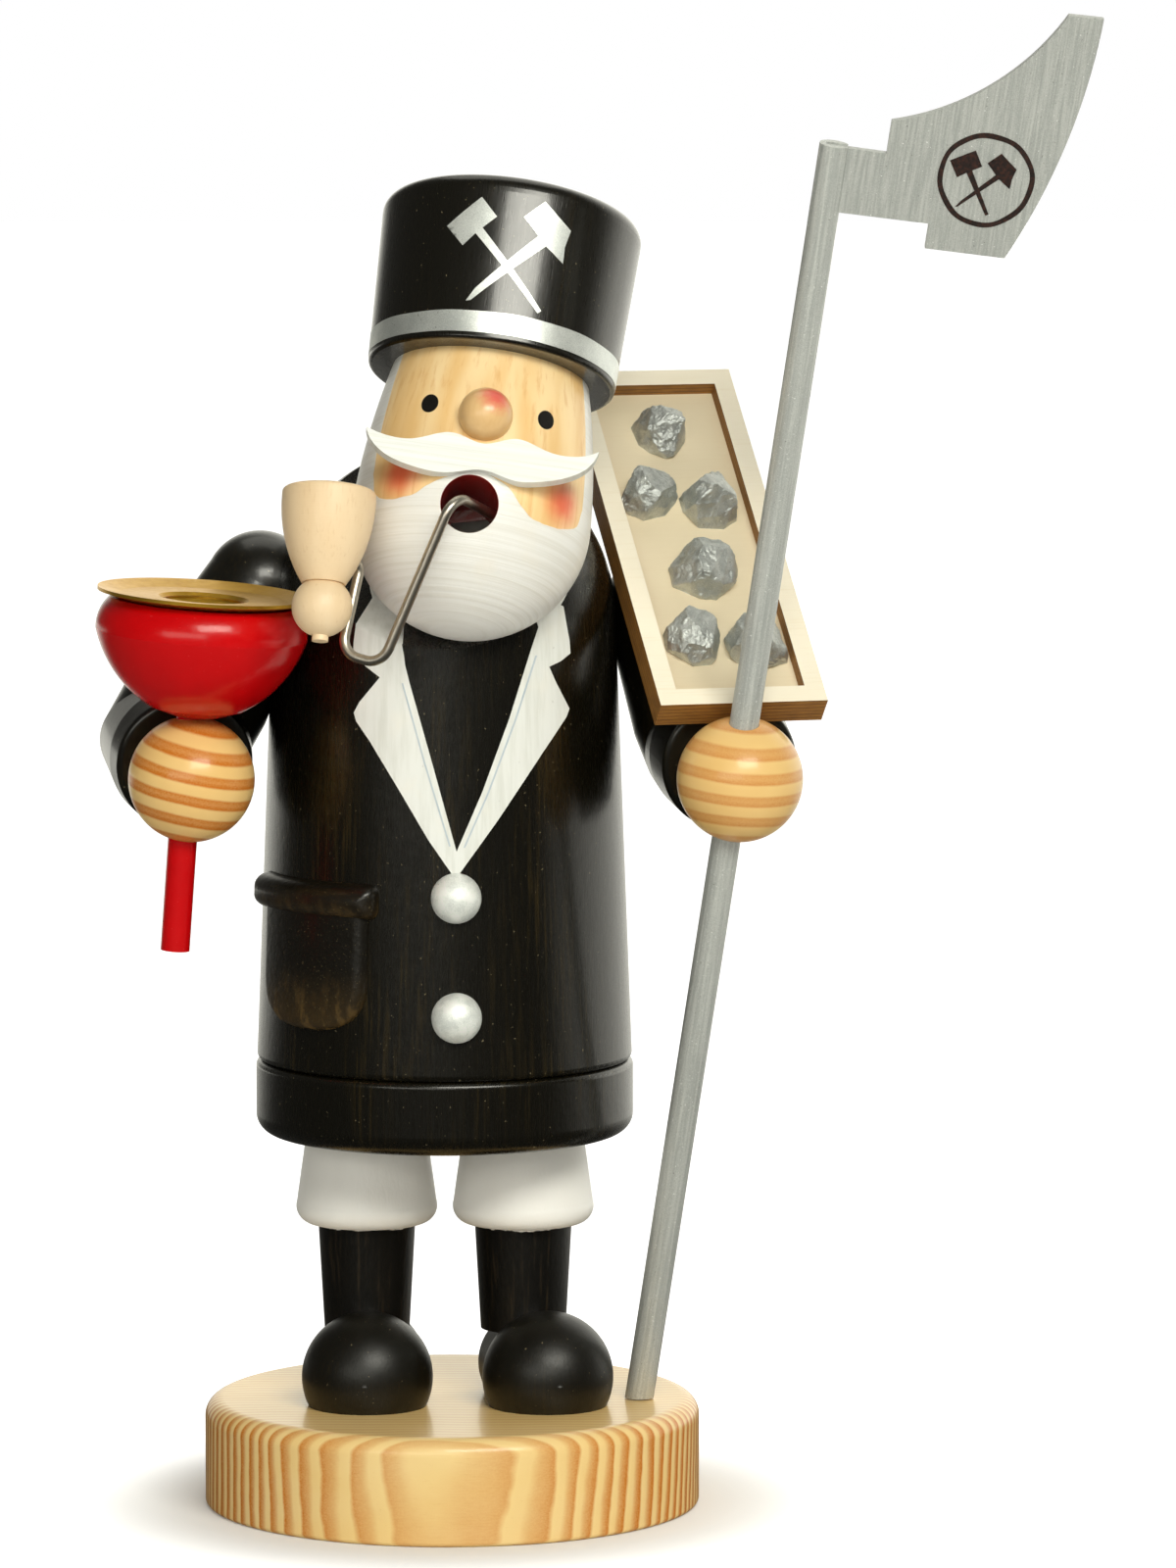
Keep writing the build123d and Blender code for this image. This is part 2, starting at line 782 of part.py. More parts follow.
def tray_plane():
    """Back of the tray at the middle of its lower edge, which stands on the left hand."""
    level = cosine(tray_lean_angle)
    out = Vector(sine(tray_yaw_angle) * level, -cosine(tray_yaw_angle) * level, sine(tray_lean_angle))
    frame = Plane(origin=hand_point(1), x_dir=(cosine(tray_yaw_angle), sine(tray_yaw_angle), 0), z_dir=out)
    frame = frame.rotated((0, 0, tray_roll_angle))
    rise = math.sqrt(hand_radius ** 2 - tray_ahead ** 2)
    foot = frame.origin + frame.x_dir * tray_aside + frame.y_dir * rise + frame.z_dir * tray_ahead
    return Plane(origin=foot, x_dir=frame.x_dir, z_dir=frame.z_dir)


def tray_sheet(width, length, thickness, inset=0, level=0):
    """Sheet on the tray's frame, set in from the lower edge and up from the back."""
    foot = (Align.CENTER, Align.MIN, Align.MIN)
    return Pos(0, inset, level) * Box(width, length, thickness, align=foot)


def tray_block():
    """Space that the whole tray fills."""
    block = tray_sheet(tray_width, tray_length, tray_floor_thickness + tray_frame_thickness)
    return tray_plane().location * block


def tray_floor():
    return tray_plane().location * tray_sheet(tray_width, tray_length, tray_floor_thickness)


def tray_frame():
    outer = tray_sheet(tray_width, tray_length, tray_frame_thickness, 0, tray_floor_thickness)
    inner = tray_sheet(
        tray_width - 2 * tray_border,
        tray_length - 2 * tray_border,
        tray_frame_thickness + overrun,
        tray_border,
        tray_floor_thickness,
    )
    return tray_plane().location * (outer - inner)


def ore_stone(index):
    """Broken lump: a block chipped by facets at steady turns, flat where it is glued."""
    golden_turn = 137.5
    radius = stone_radius * stone_size_shares[index]
    lump = Box(2 * radius, 2 * radius, 2 * radius)
    for facet in range(stone_facets):
        rise = 1 - (2 * facet + 1) / stone_facets
        turn = golden_turn * (facet + 3 * index)
        level = math.sqrt(1 - rise ** 2)
        out = Vector(level * cosine(turn), level * sine(turn), rise)
        depth = radius * (0.86 + 0.12 * sine(211 * facet + 83 * index))
        lump = split(lump, Plane(origin=out * depth, z_dir=out), keep=Keep.BOTTOM)
    lump = split(lump, Plane.XY.offset(-radius * stone_foot_share), keep=Keep.TOP)
    across, along = stone_place_shares[index]
    level = tray_floor_thickness + radius * stone_foot_share
    return tray_plane().location * (Pos(across * tray_width, along * tray_length, level) * lump)


# Staff and axe

def staff_plane():
    """Frame of the staff: origin where its axis meets the base's top, Z up the staff."""
    along = leaning(staff_lean_aside_angle, staff_lean_ahead_angle)
    grip = hand_point(1) + Vector(staff_grip_aside, -staff_grip_ahead, 0)
    foot = grip - along * ((grip.Z - base_height) / along.Z)
    across = (Vector(1, 0, 0) - along * along.X).normalized()
    return Plane(origin=foot, x_dir=across, z_dir=along)


def staff():
    """Dowel sawn level at the foot and slotted at the top for the blade."""
    pole = rod(staff_radius, staff_length + overrun, -overrun)
    neck = (blade_neck_top_share - blade_neck_bottom_share) * blade_reach
    slot_low = staff_length + blade_neck_bottom_share * blade_reach
    slot = Pos(-blade_tongue - fit_gap, 0, slot_low) * Box(
        staff_radius + blade_tongue + overrun,
        blade_thickness + 2 * fit_gap,
        neck + overrun,
        align=(Align.MIN, Align.CENTER, Align.MIN),
    )
    pole = staff_plane().location * (pole - slot)
    return split(pole, Plane.XY.offset(base_height + staff_foot_gap), keep=Keep.TOP)


def axe_blade():
    """Sawn plate: neck in the staff's slot, hollow back, pointed horn and a stepped heel."""
    def point(share):
        return (share[0] * blade_reach, share[1] * blade_reach)

    tongue_top = (-blade_tongue, blade_neck_top_share * blade_reach)
    tongue_bottom = (-blade_tongue, blade_neck_bottom_share * blade_reach)
    step = point((blade_step_share, blade_neck_top_share))
    shoulder = point((blade_step_share, blade_shoulder_share))
    notch = point(blade_notch_share)
    notch_top = (notch[0], blade_notch_height_share * blade_reach)
    outline = Polyline(tongue_bottom, tongue_top, step, shoulder)
    outline += ThreePointArc(shoulder, point(blade_hollow_share), point(blade_horn_share))
    outline += Line(point(blade_horn_share), point(blade_tip_share))
    outline += ThreePointArc(point(blade_tip_share), point(blade_edge_share), point(blade_heel_share))
    outline += Polyline(point(blade_heel_share), notch, notch_top, tongue_bottom)
    top = Pos(0, 0, staff_length)
    blade = extrude(Plane.XZ * make_face(outline), amount=blade_thickness / 2, both=True)
    return staff_plane().location * (top * blade)


nodes = {
    "base_disc": base_disc,
    "right_shoe": lambda: shoe(-1, right_toe_out_angle, right_shoe_aside),
    "left_shoe": lambda: shoe(1, left_toe_out_angle, left_shoe_aside),
    "right_leg": lambda: leg(-1),
    "left_leg": lambda: leg(1),
    "lower_body": lower_body,
    "incense_plate": incense_plate,
    "plate_nail": plate_nail,
    "coat": coat,
    "pocket_pouch": pocket_pouch,
    "pocket_flap": pocket_flap,
    "upper_button": lambda: button(upper_button_height),
    "lower_button": lambda: button(lower_button_height),
    "right_shoulder_dowel": lambda: shoulder_dowel(-1),
    "left_shoulder_dowel": lambda: shoulder_dowel(1),
    "right_upper_arm": lambda: upper_arm(-1),
    "left_upper_arm": lambda: upper_arm(1),
    "right_forearm": lambda: forearm(-1),
    "left_forearm": lambda: forearm(1),
    "right_wrist_dowel": lambda: wrist_dowel(-1),
    "left_wrist_dowel": lambda: wrist_dowel(1),
    "right_hand": lambda: hand(-1),
    "left_hand": lambda: hand(1),
    "lamp_handle": lamp_handle,
    "lamp_bowl": lamp_bowl,
    "candle_cup": candle_cup,
    "wax_saucer": wax_saucer,
    "head": head,
    "nose": nose,
    "moustache": moustache,
    "hat": hat,
    "pipe_stem": pipe_stem,
    "pipe_bowl": pipe_bowl,
    "pipe_ball": pipe_ball,
    "tray_floor": tray_floor,
    "tray_frame": tray_frame,
    "staff": staff,
    "axe_blade": axe_blade,
}


def main():
    os.makedirs("parts", exist_ok=True)
    for name, make in nodes.items():
        export_step(make(), f"parts/{name}.step")
    for index in range(len(stone_place_shares)):
        export_step(ore_stone(index), f"parts/ore_stone_{index + 1}.step")


main()
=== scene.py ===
"""Looks of the turned miner: paint, lacquer, grain, painted marks, rough ore, light and camera.

Lengths are in millimetres and become metres only where a mesh, a lamp or a node needs them.
"""
import bpy
import math
from mathutils import Euler, Matrix, Vector, noise
from mathutils.geometry import delaunay_2d_cdt


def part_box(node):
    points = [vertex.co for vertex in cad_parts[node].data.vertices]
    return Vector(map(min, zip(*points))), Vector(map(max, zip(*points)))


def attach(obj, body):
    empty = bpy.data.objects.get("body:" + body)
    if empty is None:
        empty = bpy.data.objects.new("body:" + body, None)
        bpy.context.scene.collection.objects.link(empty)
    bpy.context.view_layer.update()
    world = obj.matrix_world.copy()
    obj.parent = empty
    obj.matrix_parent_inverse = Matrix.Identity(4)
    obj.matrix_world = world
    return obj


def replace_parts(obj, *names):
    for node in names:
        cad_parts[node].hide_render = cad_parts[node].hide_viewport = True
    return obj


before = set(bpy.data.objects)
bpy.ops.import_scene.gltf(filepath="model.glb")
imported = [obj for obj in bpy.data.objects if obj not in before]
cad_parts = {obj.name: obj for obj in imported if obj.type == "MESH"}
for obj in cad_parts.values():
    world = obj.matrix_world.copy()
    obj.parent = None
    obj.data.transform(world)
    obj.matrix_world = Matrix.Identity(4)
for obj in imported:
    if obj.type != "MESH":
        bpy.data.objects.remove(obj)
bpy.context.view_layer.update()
scene = bpy.context.scene

mm = 0.001
upper = "upper_half"

# Directions of the parts, in degrees, as they are set in the solids
neck_slope = 45.0
head_roll = 8.0
head_lean_back = 21.475
lamp_lean_aside = 4.2
lamp_lean_ahead = 1.5
pipe_lean_aside = 3.4
pipe_lean_back = 17.8
tray_yaw = 16.0
tray_lean = 46.0
tray_roll = 1.0
staff_lean_aside = 8.27
staff_lean_ahead = 12.68

# Sizes of the surfaces that carry paint
dome_radius = 34.4
coat_hem_radius = 37.8
barrel_height = 89.3
neck_flat_height = 21.87
head_foot_aside = 5.91
head_foot_drop = 8.11
head_height = 29.6
head_radius = 23.6
head_middle_radius = 22.3
head_top_radius = 19.5
hat_foot_radius = 24.5
hat_flare = 1.3
hat_flare_height = 30.4
blade_thickness = 1.9
boot_top_z = 57.0
mouth_radius = 5.6
mouth_height = -3.4
mouth_aside = -0.7

# Light is a little warm, and shiny surfaces see white behind the object and to its left
warm_white = (1.0, 0.985, 0.88, 1.0)
bright_side = (0.45, 0.89, 0.0)

# Paint stands this far proud of what it covers, and starts this far under the surface
paint_lift = 0.07
paint_root = 0.04


def sine(angle):
    return math.sin(math.radians(angle))


def cosine(angle):
    return math.cos(math.radians(angle))


def tangent(angle):
    return math.tan(math.radians(angle))


def colour(red, green, blue):
    """Linear colour of a screen colour written in 0 to 255."""
    def linear(level):
        share = level / 255
        return share / 12.92 if share <= 0.04045 else ((share + 0.055) / 1.055) ** 2.4
    return (linear(red), linear(green), linear(blue), 1.0)


# Places: a matrix whose columns are a part's own axes and origin, in millimetres

def axes(x_dir, z_dir, origin=(0, 0, 0)):
    z_dir = Vector(z_dir).normalized()
    x_dir = Vector(x_dir)
    x_dir = (x_dir - z_dir * x_dir.dot(z_dir)).normalized()
    place = Matrix((x_dir, z_dir.cross(x_dir), z_dir)).transposed().to_4x4()
    place.translation = Vector(origin)
    return place


def seated(node, turned, rise=0.0):
    """Place on a node: middle of its box along the turned axes, at the box's low end plus a rise."""
    inverse = turned.to_3x3().transposed()
    points = [inverse @ (vertex.co / mm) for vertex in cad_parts[node].data.vertices]
    low = [min(point[axis] for point in points) for axis in range(3)]
    high = [max(point[axis] for point in points) for axis in range(3)]
    place = turned.copy()
    middle = Vector(((low[0] + high[0]) / 2, (low[1] + high[1]) / 2, low[2] + rise))
    place.translation = turned.to_3x3() @ middle
    return place


def leaning(aside, ahead):
    return Vector((tangent(aside), -tangent(ahead), 1)).normalized()


def centre(node):
    low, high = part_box(node)
    return (low + high) / 2 / mm


parting_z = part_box("coat")[0].z / mm
dome_z = parting_z + barrel_height
figure_x = centre("coat").x
dome_centre = Vector((figure_x, 0, dome_z))
seat = axes((1, 0, 0), (0, -sine(neck_slope), cosine(neck_slope)), dome_centre)

head_level = cosine(head_lean_back)
crown = (head_level * sine(head_roll), sine(head_lean_back), head_level * cosine(head_roll))
head_place = seated("hat", axes((cosine(head_roll), 0, -sine(head_roll)), crown), -head_height)
lamp_place = seated("lamp_bowl", axes((1, 0, 0), leaning(lamp_lean_aside, lamp_lean_ahead)))
pipe_place = seated("pipe_bowl", axes((1, 0, 0), leaning(pipe_lean_aside, -pipe_lean_back)))
staff_place = seated("staff", axes((1, 0, 0), leaning(staff_lean_aside, staff_lean_ahead)))
staff_points = [staff_place.inverted() @ (vertex.co / mm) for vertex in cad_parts["staff"].data.vertices]
blade_place = staff_place.copy()
blade_place.translation = staff_place @ Vector((0, 0, max(point.z for point in staff_points)))

tray_level = cosine(tray_lean)
tray_out = Vector((sine(tray_yaw) * tray_level, -cosine(tray_yaw) * tray_level, sine(tray_lean)))
tray_x = Matrix.Rotation(math.radians(tray_roll), 3, tray_out) @ Vector((cosine(tray_yaw), sine(tray_yaw), 0))
tray_place = seated("tray_floor", axes(tray_x, tray_out))


# Materials

class Wiring:
    """Adds nodes to a tree. A value that isn't a socket is set on the node's own socket."""

    def __init__(self, tree):
        self.tree = tree

    def add(self, kind, **settings):
        node = self.tree.nodes.new("ShaderNode" + kind)
        for key, value in settings.items():
            setattr(node, key, value)
        return node

    def feed(self, socket, value):
        if isinstance(value, bpy.types.NodeSocket):
            self.tree.links.new(value, socket)
        else:
            socket.default_value = value

    def fill(self, kind, *values, **settings):
        """First output of a new node whose sockets are fed in their order."""
        node = self.add(kind, **settings)
        for socket, value in zip(node.inputs, values):
            self.feed(socket, value)
        return node.outputs[0]

    def sum_up(self, operation, *terms):
        """One math node: ADD, MULTIPLY, POWER and so on."""
        return self.fill("Math", *terms, operation=operation)

    def times(self, first, second):
        return self.sum_up("MULTIPLY", first, second)

    def plus(self, first, second):
        return self.sum_up("ADD", first, second)

    def minus(self, first, second):
        return self.sum_up("SUBTRACT", first, second)

    def measure(self, operation, first, second=(0, 0, 0)):
        """One vector math node whose result is a number."""
        node = self.add("VectorMath", operation=operation)
        self.feed(node.inputs[0], first)
        self.feed(node.inputs[1], second)
        return node.outputs["Value"]

    def span(self, value, start, end, low=0.0, high=1.0, run="LINEAR"):
        """Straight run from low to high between two values."""
        return self.fill("MapRange", value, start, end, low, high, interpolation_type=run)

    def step(self, value, start, end, low=0.0, high=1.0):
        """Smooth rise between two values; it falls where the end is the lower one."""
        return self.span(value, start, end, low, high, "SMOOTHSTEP")

    def mix(self, share, first, second):
        """Mix of two colours; three plain numbers are a screen colour in 0 to 255."""
        node = self.add("Mix", data_type="RGBA")
        self.feed(node.inputs[0], share)
        for index, value in ((6, first), (7, second)):
            written = isinstance(value, tuple) and len(value) == 3
            self.feed(node.inputs[index], colour(*value) if written else value)
        return node.outputs[2]

    def wash(self, tint, share, strength, screen_colour):
        return self.mix(self.times(share, strength), tint, screen_colour)


class Recipe(Wiring):
    """Wires one procedural material. Its points are millimetres in the part's own place."""

    def __init__(self, name, place=None):
        self.material = bpy.data.materials.new(name)
        self.material.use_nodes = True
        super().__init__(self.material.node_tree)
        self.shader = self.tree.nodes["Principled BSDF"]
        place = place or Matrix.Identity(4)
        turn = place.to_3x3().transposed()
        moved, turned, scaled = -(turn @ place.translation), turn.to_euler(), (1 / mm, 1 / mm, 1 / mm)
        self.point = self.fill("Mapping", self.add("TexCoord").outputs["Object"], moved, turned, scaled)
        split = self.add("SeparateXYZ")
        self.feed(split.inputs[0], self.point)
        self.x, self.y, self.z = split.outputs

    def noise(self, scale, detail, rough, shift):
        """Noise with a scale in cells per millimetre: one for all axes, or one for each."""
        scales = scale if isinstance(scale, tuple) else (scale, scale, scale)
        place = self.fill("VectorMath", self.point, scales, (shift, shift, shift), operation="MULTIPLY_ADD")
        node = self.add("TexNoise")
        for key, value in (("Vector", place), ("Scale", 1.0), ("Detail", detail), ("Roughness", rough)):
            self.feed(node.inputs[key], value)
        return node.outputs[0]

    def ramp(self, value, *stops):
        """Grey level that follows stops of position and level."""
        node = self.add("ValToRGB")
        band = node.color_ramp
        for element, (position, level) in zip((band.elements[0], band.elements[1]), (stops[0], stops[-1])):
            element.position = position
            element.color = (level, level, level, 1)
        for position, level in stops[1:-1]:
            band.elements.new(position).color = (level, level, level, 1)
        self.feed(node.inputs[0], value)
        return node.outputs[0]

    def curve(self, value, points):
        """Smooth curve through points of input and output, both from 0 to 1."""
        node = self.add("FloatCurve")
        line = node.mapping.curves[0]
        line.points[0].location = points[0]
        line.points[1].location = points[-1]
        for point in points[1:-1]:
            line.points.new(*point)
        node.mapping.update()
        self.feed(node.inputs["Value"], value)
        return node.outputs[0]

    def from_axis(self, aside, up):
        """Distance from the line where both values are zero."""
        return self.sum_up("SQRT", self.plus(self.times(aside, aside), self.times(up, up)))

    def facing(self, direction):
        """Cosine between the surface and a direction of the object."""
        return self.measure("DOT_PRODUCT", self.add("TexCoord").outputs["Normal"], direction)

    def finish(self, tint, roughness, height, depth, **plain):
        """Sets colour, roughness, relief of a depth in millimetres, and plain sockets by their names."""
        self.feed(self.shader.inputs["Base Color"], tint)
        self.feed(self.shader.inputs["Roughness"], roughness)
        for key, value in plain.items():
            self.shader.inputs[key.replace("_", " ").title().replace("Ior", "IOR")].default_value = value
        relief = self.add("Bump")
        self.feed(relief.inputs["Distance"], depth * mm)
        self.feed(relief.inputs["Height"], height)
        self.feed(self.shader.inputs["Normal"], relief.outputs[0])
        return self.material


def specks(recipe, per_mm, threshold, shift):
    """Sparse small dots: 1 inside a dot."""
    dots = recipe.noise(per_mm, 1.0, 0.5, shift)
    return recipe.step(dots, threshold, threshold + 0.03)


def black_lacquer(name, place=None, brown=0.5, shift=0.0, gloss=0.2, film=0.12, shine=0.5):
    """Dark stain under thin lacquer: brown streaks along the grain, dust dots and fine pores."""
    r = Recipe(name, place)
    streak = r.noise((1.1, 1.1, 0.03), 4.0, 0.62, shift)
    cloud = r.noise((0.07, 0.07, 0.02), 2.0, 0.5, shift + 7)
    thin = r.times(r.step(streak, 0.46, 0.76), r.step(cloud, 0.4, 0.7))
    tint = r.mix(r.times(thin, brown), (13, 11, 5), (68, 54, 20))
    tint = r.wash(tint, specks(r, 1.6, 0.75, shift + 3), 0.5, (140, 128, 100))
    pores = r.noise((3.5, 3.5, 0.16), 3.0, 0.6, shift + 11)
    skin = r.noise((0.5, 0.5, 0.4), 3.0, 0.5, shift + 5)
    rough = r.plus(gloss, r.times(pores, 0.14))
    height = r.plus(r.times(pores, 0.5), r.times(skin, 0.7))
    return r.finish(tint, rough, height, 0.05,
                    coat_weight=film, coat_roughness=0.14, specular_ior_level=shine)


def lower_brown_lacquer(name, brown_span, shift):
    """The pocket's lacquer: browner in patches towards the lower of two heights over the parting line."""
    r = Recipe(name)
    patch = r.noise(0.25, 4.0, 0.6, shift)
    edge = r.step(r.plus(r.z, r.times(patch, 5.0)), parting_z + brown_span[1], parting_z + brown_span[0])
    blotches = r.step(r.noise((0.4, 0.4, 0.15), 4.0, 0.65, shift + 9), 0.48, 0.62)
    share = r.times(edge, r.plus(0.35, r.times(blotches, 0.65)))
    tint = r.mix(share, (18, 15, 9), (98, 76, 40))
    tint = r.wash(tint, specks(r, 2.6, 0.7, shift + 2), 0.4, (120, 108, 78))
    skin = r.noise(0.8, 4.0, 0.55, shift + 4)
    rough = r.plus(0.26, r.times(patch, 0.2))
    return r.finish(tint, rough, skin, 0.12, coat_weight=0.25, coat_roughness=0.15, specular_ior_level=0.4)


def white_paint(name, place=None, ridges=0.5, shift=0.0, stroke=(0.03, 0.03, 1.6)):
    """Brushed white with faint strokes; on turned pieces they are rings left by the lathe."""
    r = Recipe(name, place)
    rings = r.noise(stroke, 3.0, 0.6, shift)
    cloud = r.noise(0.12, 3.0, 0.5, shift + 4)
    tint = r.mix(r.step(rings, 0.35, 0.75), (232, 234, 231), (218, 220, 215))
    tint = r.wash(tint, r.step(cloud, 0.5, 0.8), 0.35, (240, 235, 222))
    tint = r.wash(tint, specks(r, 0.9, 0.77, shift + 6), 0.3, (160, 158, 152))
    height = r.plus(r.times(rings, ridges), r.times(cloud, 0.3))
    return r.finish(tint, r.plus(0.36, r.times(rings, 0.12)), height, 0.12)


def silver_paint(name, place=None, bright=1.0, metal=0.6, depth=0.05, grain=0.3, shift=0.0):
    """Aluminium paint: fine flakes, brighter glints and small dark dots, drawn out along the grain."""
    r = Recipe(name, place)
    flakes = r.noise(5.0, 2.0, 0.6, shift)
    cloud = r.noise(grain, 3.0, 0.55, shift + 3)
    low = colour(172 * bright, 176 * bright, 174 * bright)
    high = colour(206 * bright, 209 * bright, 206 * bright)
    tint = r.mix(r.step(r.plus(r.times(cloud, 0.55), r.times(flakes, 0.45)), 0.36, 0.66), low, high)
    tint = r.wash(tint, specks(r, 2.2, 0.72, shift + 8), 0.8, (240, 242, 240))
    tint = r.wash(tint, specks(r, 1.7, 0.75, shift + 15), 0.55, (96, 94, 88))
    rough = r.plus(0.28, r.times(flakes, 0.3))
    height = r.plus(flakes, r.times(cloud, 1.5))
    return r.finish(tint, rough, height, depth, metallic=metal)


# Pale, warm and dark tones of the two pieces of pine
base_tones = [(252, 224, 164), (245, 208, 132), (206, 118, 20)]
hand_tones = [(240, 206, 142), (230, 186, 114), (198, 112, 30)]


def pine(name, place, gap, profile, wave=1.0, shift=0.0, deep=1.0, front=0.3, tones=base_tones):
    """Clear-lacquered pine: fibres along X, growth layers across Y that show strongest on the end grain."""
    r = Recipe(name, place)
    bend = r.noise((0.04, 0.02, 0.012), 2.0, 0.5, shift)
    ripple = r.noise((0.08, 0.25, 0.1), 3.0, 0.5, shift + 5)
    tilt = r.times(r.z, r.plus(r.times(r.x, -0.0013), -0.05))
    sway = r.plus(r.plus(r.times(bend, 5.0), ripple), tilt)
    layer = r.plus(r.y, r.times(sway, wave))
    ring = r.sum_up("FRACT", r.plus(r.times(layer, 1 / gap), 50.0))
    late = r.ramp(ring, *profile)
    fibre = r.noise((0.25, 3.4, 3.4), 4.0, 0.62, shift + 9)
    pores = r.noise(3.0, 3.0, 0.6, shift + 17)
    end_grain = r.sum_up("ABSOLUTE", r.facing(place.col[0].to_3d() if place else Vector((1, 0, 0))))
    strength = r.times(r.times(late, deep), r.plus(front, r.times(end_grain, 1 - front)))
    strength = r.times(strength, r.plus(0.35, r.plus(r.times(fibre, 0.75), r.times(pores, 0.6))))
    cloud = r.noise((0.03, 0.08, 0.08), 2.0, 0.5, shift + 13)
    light, middle, dark = tones
    pale = r.mix(cloud, light, middle)
    tint = r.mix(strength, pale, dark)
    tint = r.wash(tint, r.step(fibre, 0.6, 0.8), 0.22, (208, 158, 88))
    height = r.plus(r.times(fibre, 0.4), r.times(late, -0.3))
    rough = r.plus(0.26, r.times(fibre, 0.12))
    return r.finish(tint, rough, height, 0.05, coat_weight=0.2, coat_roughness=0.1, specular_ior_level=0.3)


def beech(name, place, shift=0.0):
    """Bare turned beech: pale, with short fine flecks along the grain."""
    r = Recipe(name, place)
    fleck = r.noise((1.8, 1.8, 0.3), 3.0, 0.6, shift)
    band = r.noise((0.25, 0.08, 0.03), 2.0, 0.5, shift + 4)
    tint = r.mix(band, (240, 217, 183), (229, 197, 153))
    tint = r.wash(tint, r.step(fleck, 0.56, 0.75), 0.3, (206, 166, 114))
    rings = r.noise((0.05, 0.05, 2.2), 2.0, 0.5, shift + 8)
    return r.finish(tint, r.plus(0.42, r.times(fleck, 0.1)), r.plus(fleck, r.times(rings, 0.6)), 0.04)


# Beard's edge from the figure's right to its left: degrees from the front, and height on the head
beard_line = [
    (-90, 8), (-60, 3.4), (-54, -1.5), (-45, -2.9), (-33, -2.6), (-23.5, -0.6), (-15, 1.2), (0, 3.2),
    (9, 2.2), (14, 1.4), (19, -0.3), (25, -2.6), (34, -4.1), (43, -4.1), (53, -3.2), (61, -1.6),
    (65, 2.4), (90, 8),
]


def beard_edge(recipe, azimuth):
    """Height of the beard's edge over the azimuth."""
    span, low, reach = 90.0, -8.0, 16.0
    points = [((turn + span) / (2 * span), (height - low) / reach) for turn, height in beard_line]
    share = recipe.span(azimuth, -span, span)
    return recipe.plus(recipe.times(recipe.curve(share, points), reach), low)


def head_paint():
    """White beard and hair, bare face, blushed cheeks, and a red mouth."""
    r = Recipe("head_paint", head_place)
    azimuth = r.times(r.sum_up("ARCTAN2", r.x, r.times(r.y, -1.0)), 180 / math.pi)
    wobble = r.times(r.minus(r.noise(0.35, 2.0, 0.5, 2.0), 0.5), 0.5)
    above = r.step(r.minus(r.plus(r.z, wobble), beard_edge(r, azimuth)), -0.08, 0.08)
    hair_left = r.step(r.plus(azimuth, r.plus(r.times(wobble, 2.0), r.times(r.z, 0.22))), -58.6, -58.2)
    hair_right = r.step(r.plus(azimuth, r.plus(r.times(wobble, 2.0), r.times(r.z, -0.06))), 65.0, 64.6)
    face = r.times(above, r.times(hair_left, hair_right))
    grain = r.noise((0.8, 0.8, 0.035), 4.0, 0.6, 5.0)
    band = r.noise((0.16, 0.16, 0.012), 2.0, 0.5, 9.0)
    wood = r.mix(r.step(band, 0.35, 0.65), (252, 222, 170), (240, 198, 134))
    wood = r.wash(wood, r.step(grain, 0.5, 0.72), 0.42, (218, 158, 86))
    rings = r.noise((0.02, 0.02, 1.7), 3.0, 0.62, 1.0)
    cloud = r.noise(0.12, 3.0, 0.5, 3.0)
    white = r.mix(r.step(rings, 0.4, 0.72), (238, 237, 234), (227, 225, 219))
    white = r.wash(white, r.step(cloud, 0.5, 0.8), 0.35, (236, 229, 216))
    tint = r.mix(face, white, wood)
    blush = None
    for spot, reach in (((-14.8, -18.2, 2.2), 7.0), ((17.2, -15.9, 1.6), 7.0)):
        near = r.step(r.plus(r.measure("DISTANCE", r.point, spot), r.times(wobble, 3.0)), reach, 0.6)
        blush = near if blush is None else r.sum_up("MAXIMUM", blush, near)
    blush = r.times(blush, r.plus(0.22, r.times(face, 0.66)))
    tint = r.mix(blush, tint, (226, 84, 52))
    beside = r.minus(r.x, mouth_aside)
    above_middle = r.minus(r.z, mouth_height)
    from_bore = r.from_axis(beside, above_middle)
    mouth = r.step(from_bore, mouth_radius + 0.12, mouth_radius + 0.02)
    mouth = r.times(mouth, r.sum_up("LESS_THAN", r.y, 0.0))
    depth = r.mix(r.step(above_middle, 0.5, -3.5), (150, 16, 12), (92, 52, 26))
    tint = r.mix(mouth, tint, depth)
    rough = r.plus(0.36, r.times(grain, 0.1))
    height = r.plus(r.times(r.minus(1.0, face), rings), r.times(grain, 0.25))
    return r.finish(tint, rough, height, 0.14, coat_weight=0.15, coat_roughness=0.15)


def nose_paint():
    r = Recipe("nose_wood", head_place)
    blush_middle = (1.7, -27.0, 17.9)
    light = r.measure("DISTANCE", r.point, blush_middle)
    grain = r.noise((0.6, 0.6, 0.08), 3.0, 0.55, 3.0)
    wood = r.mix(grain, (236, 200, 146), (216, 172, 114))
    blush = r.step(r.plus(light, r.times(r.noise(1.2, 3.0, 0.6, 8.0), 2.0)), 6.0, 1.6)
    tint = r.mix(r.times(blush, 0.85), wood, (228, 78, 80))
    return r.finish(tint, r.plus(0.3, r.times(grain, 0.1)), grain, 0.04, coat_weight=0.3, coat_roughness=0.15)


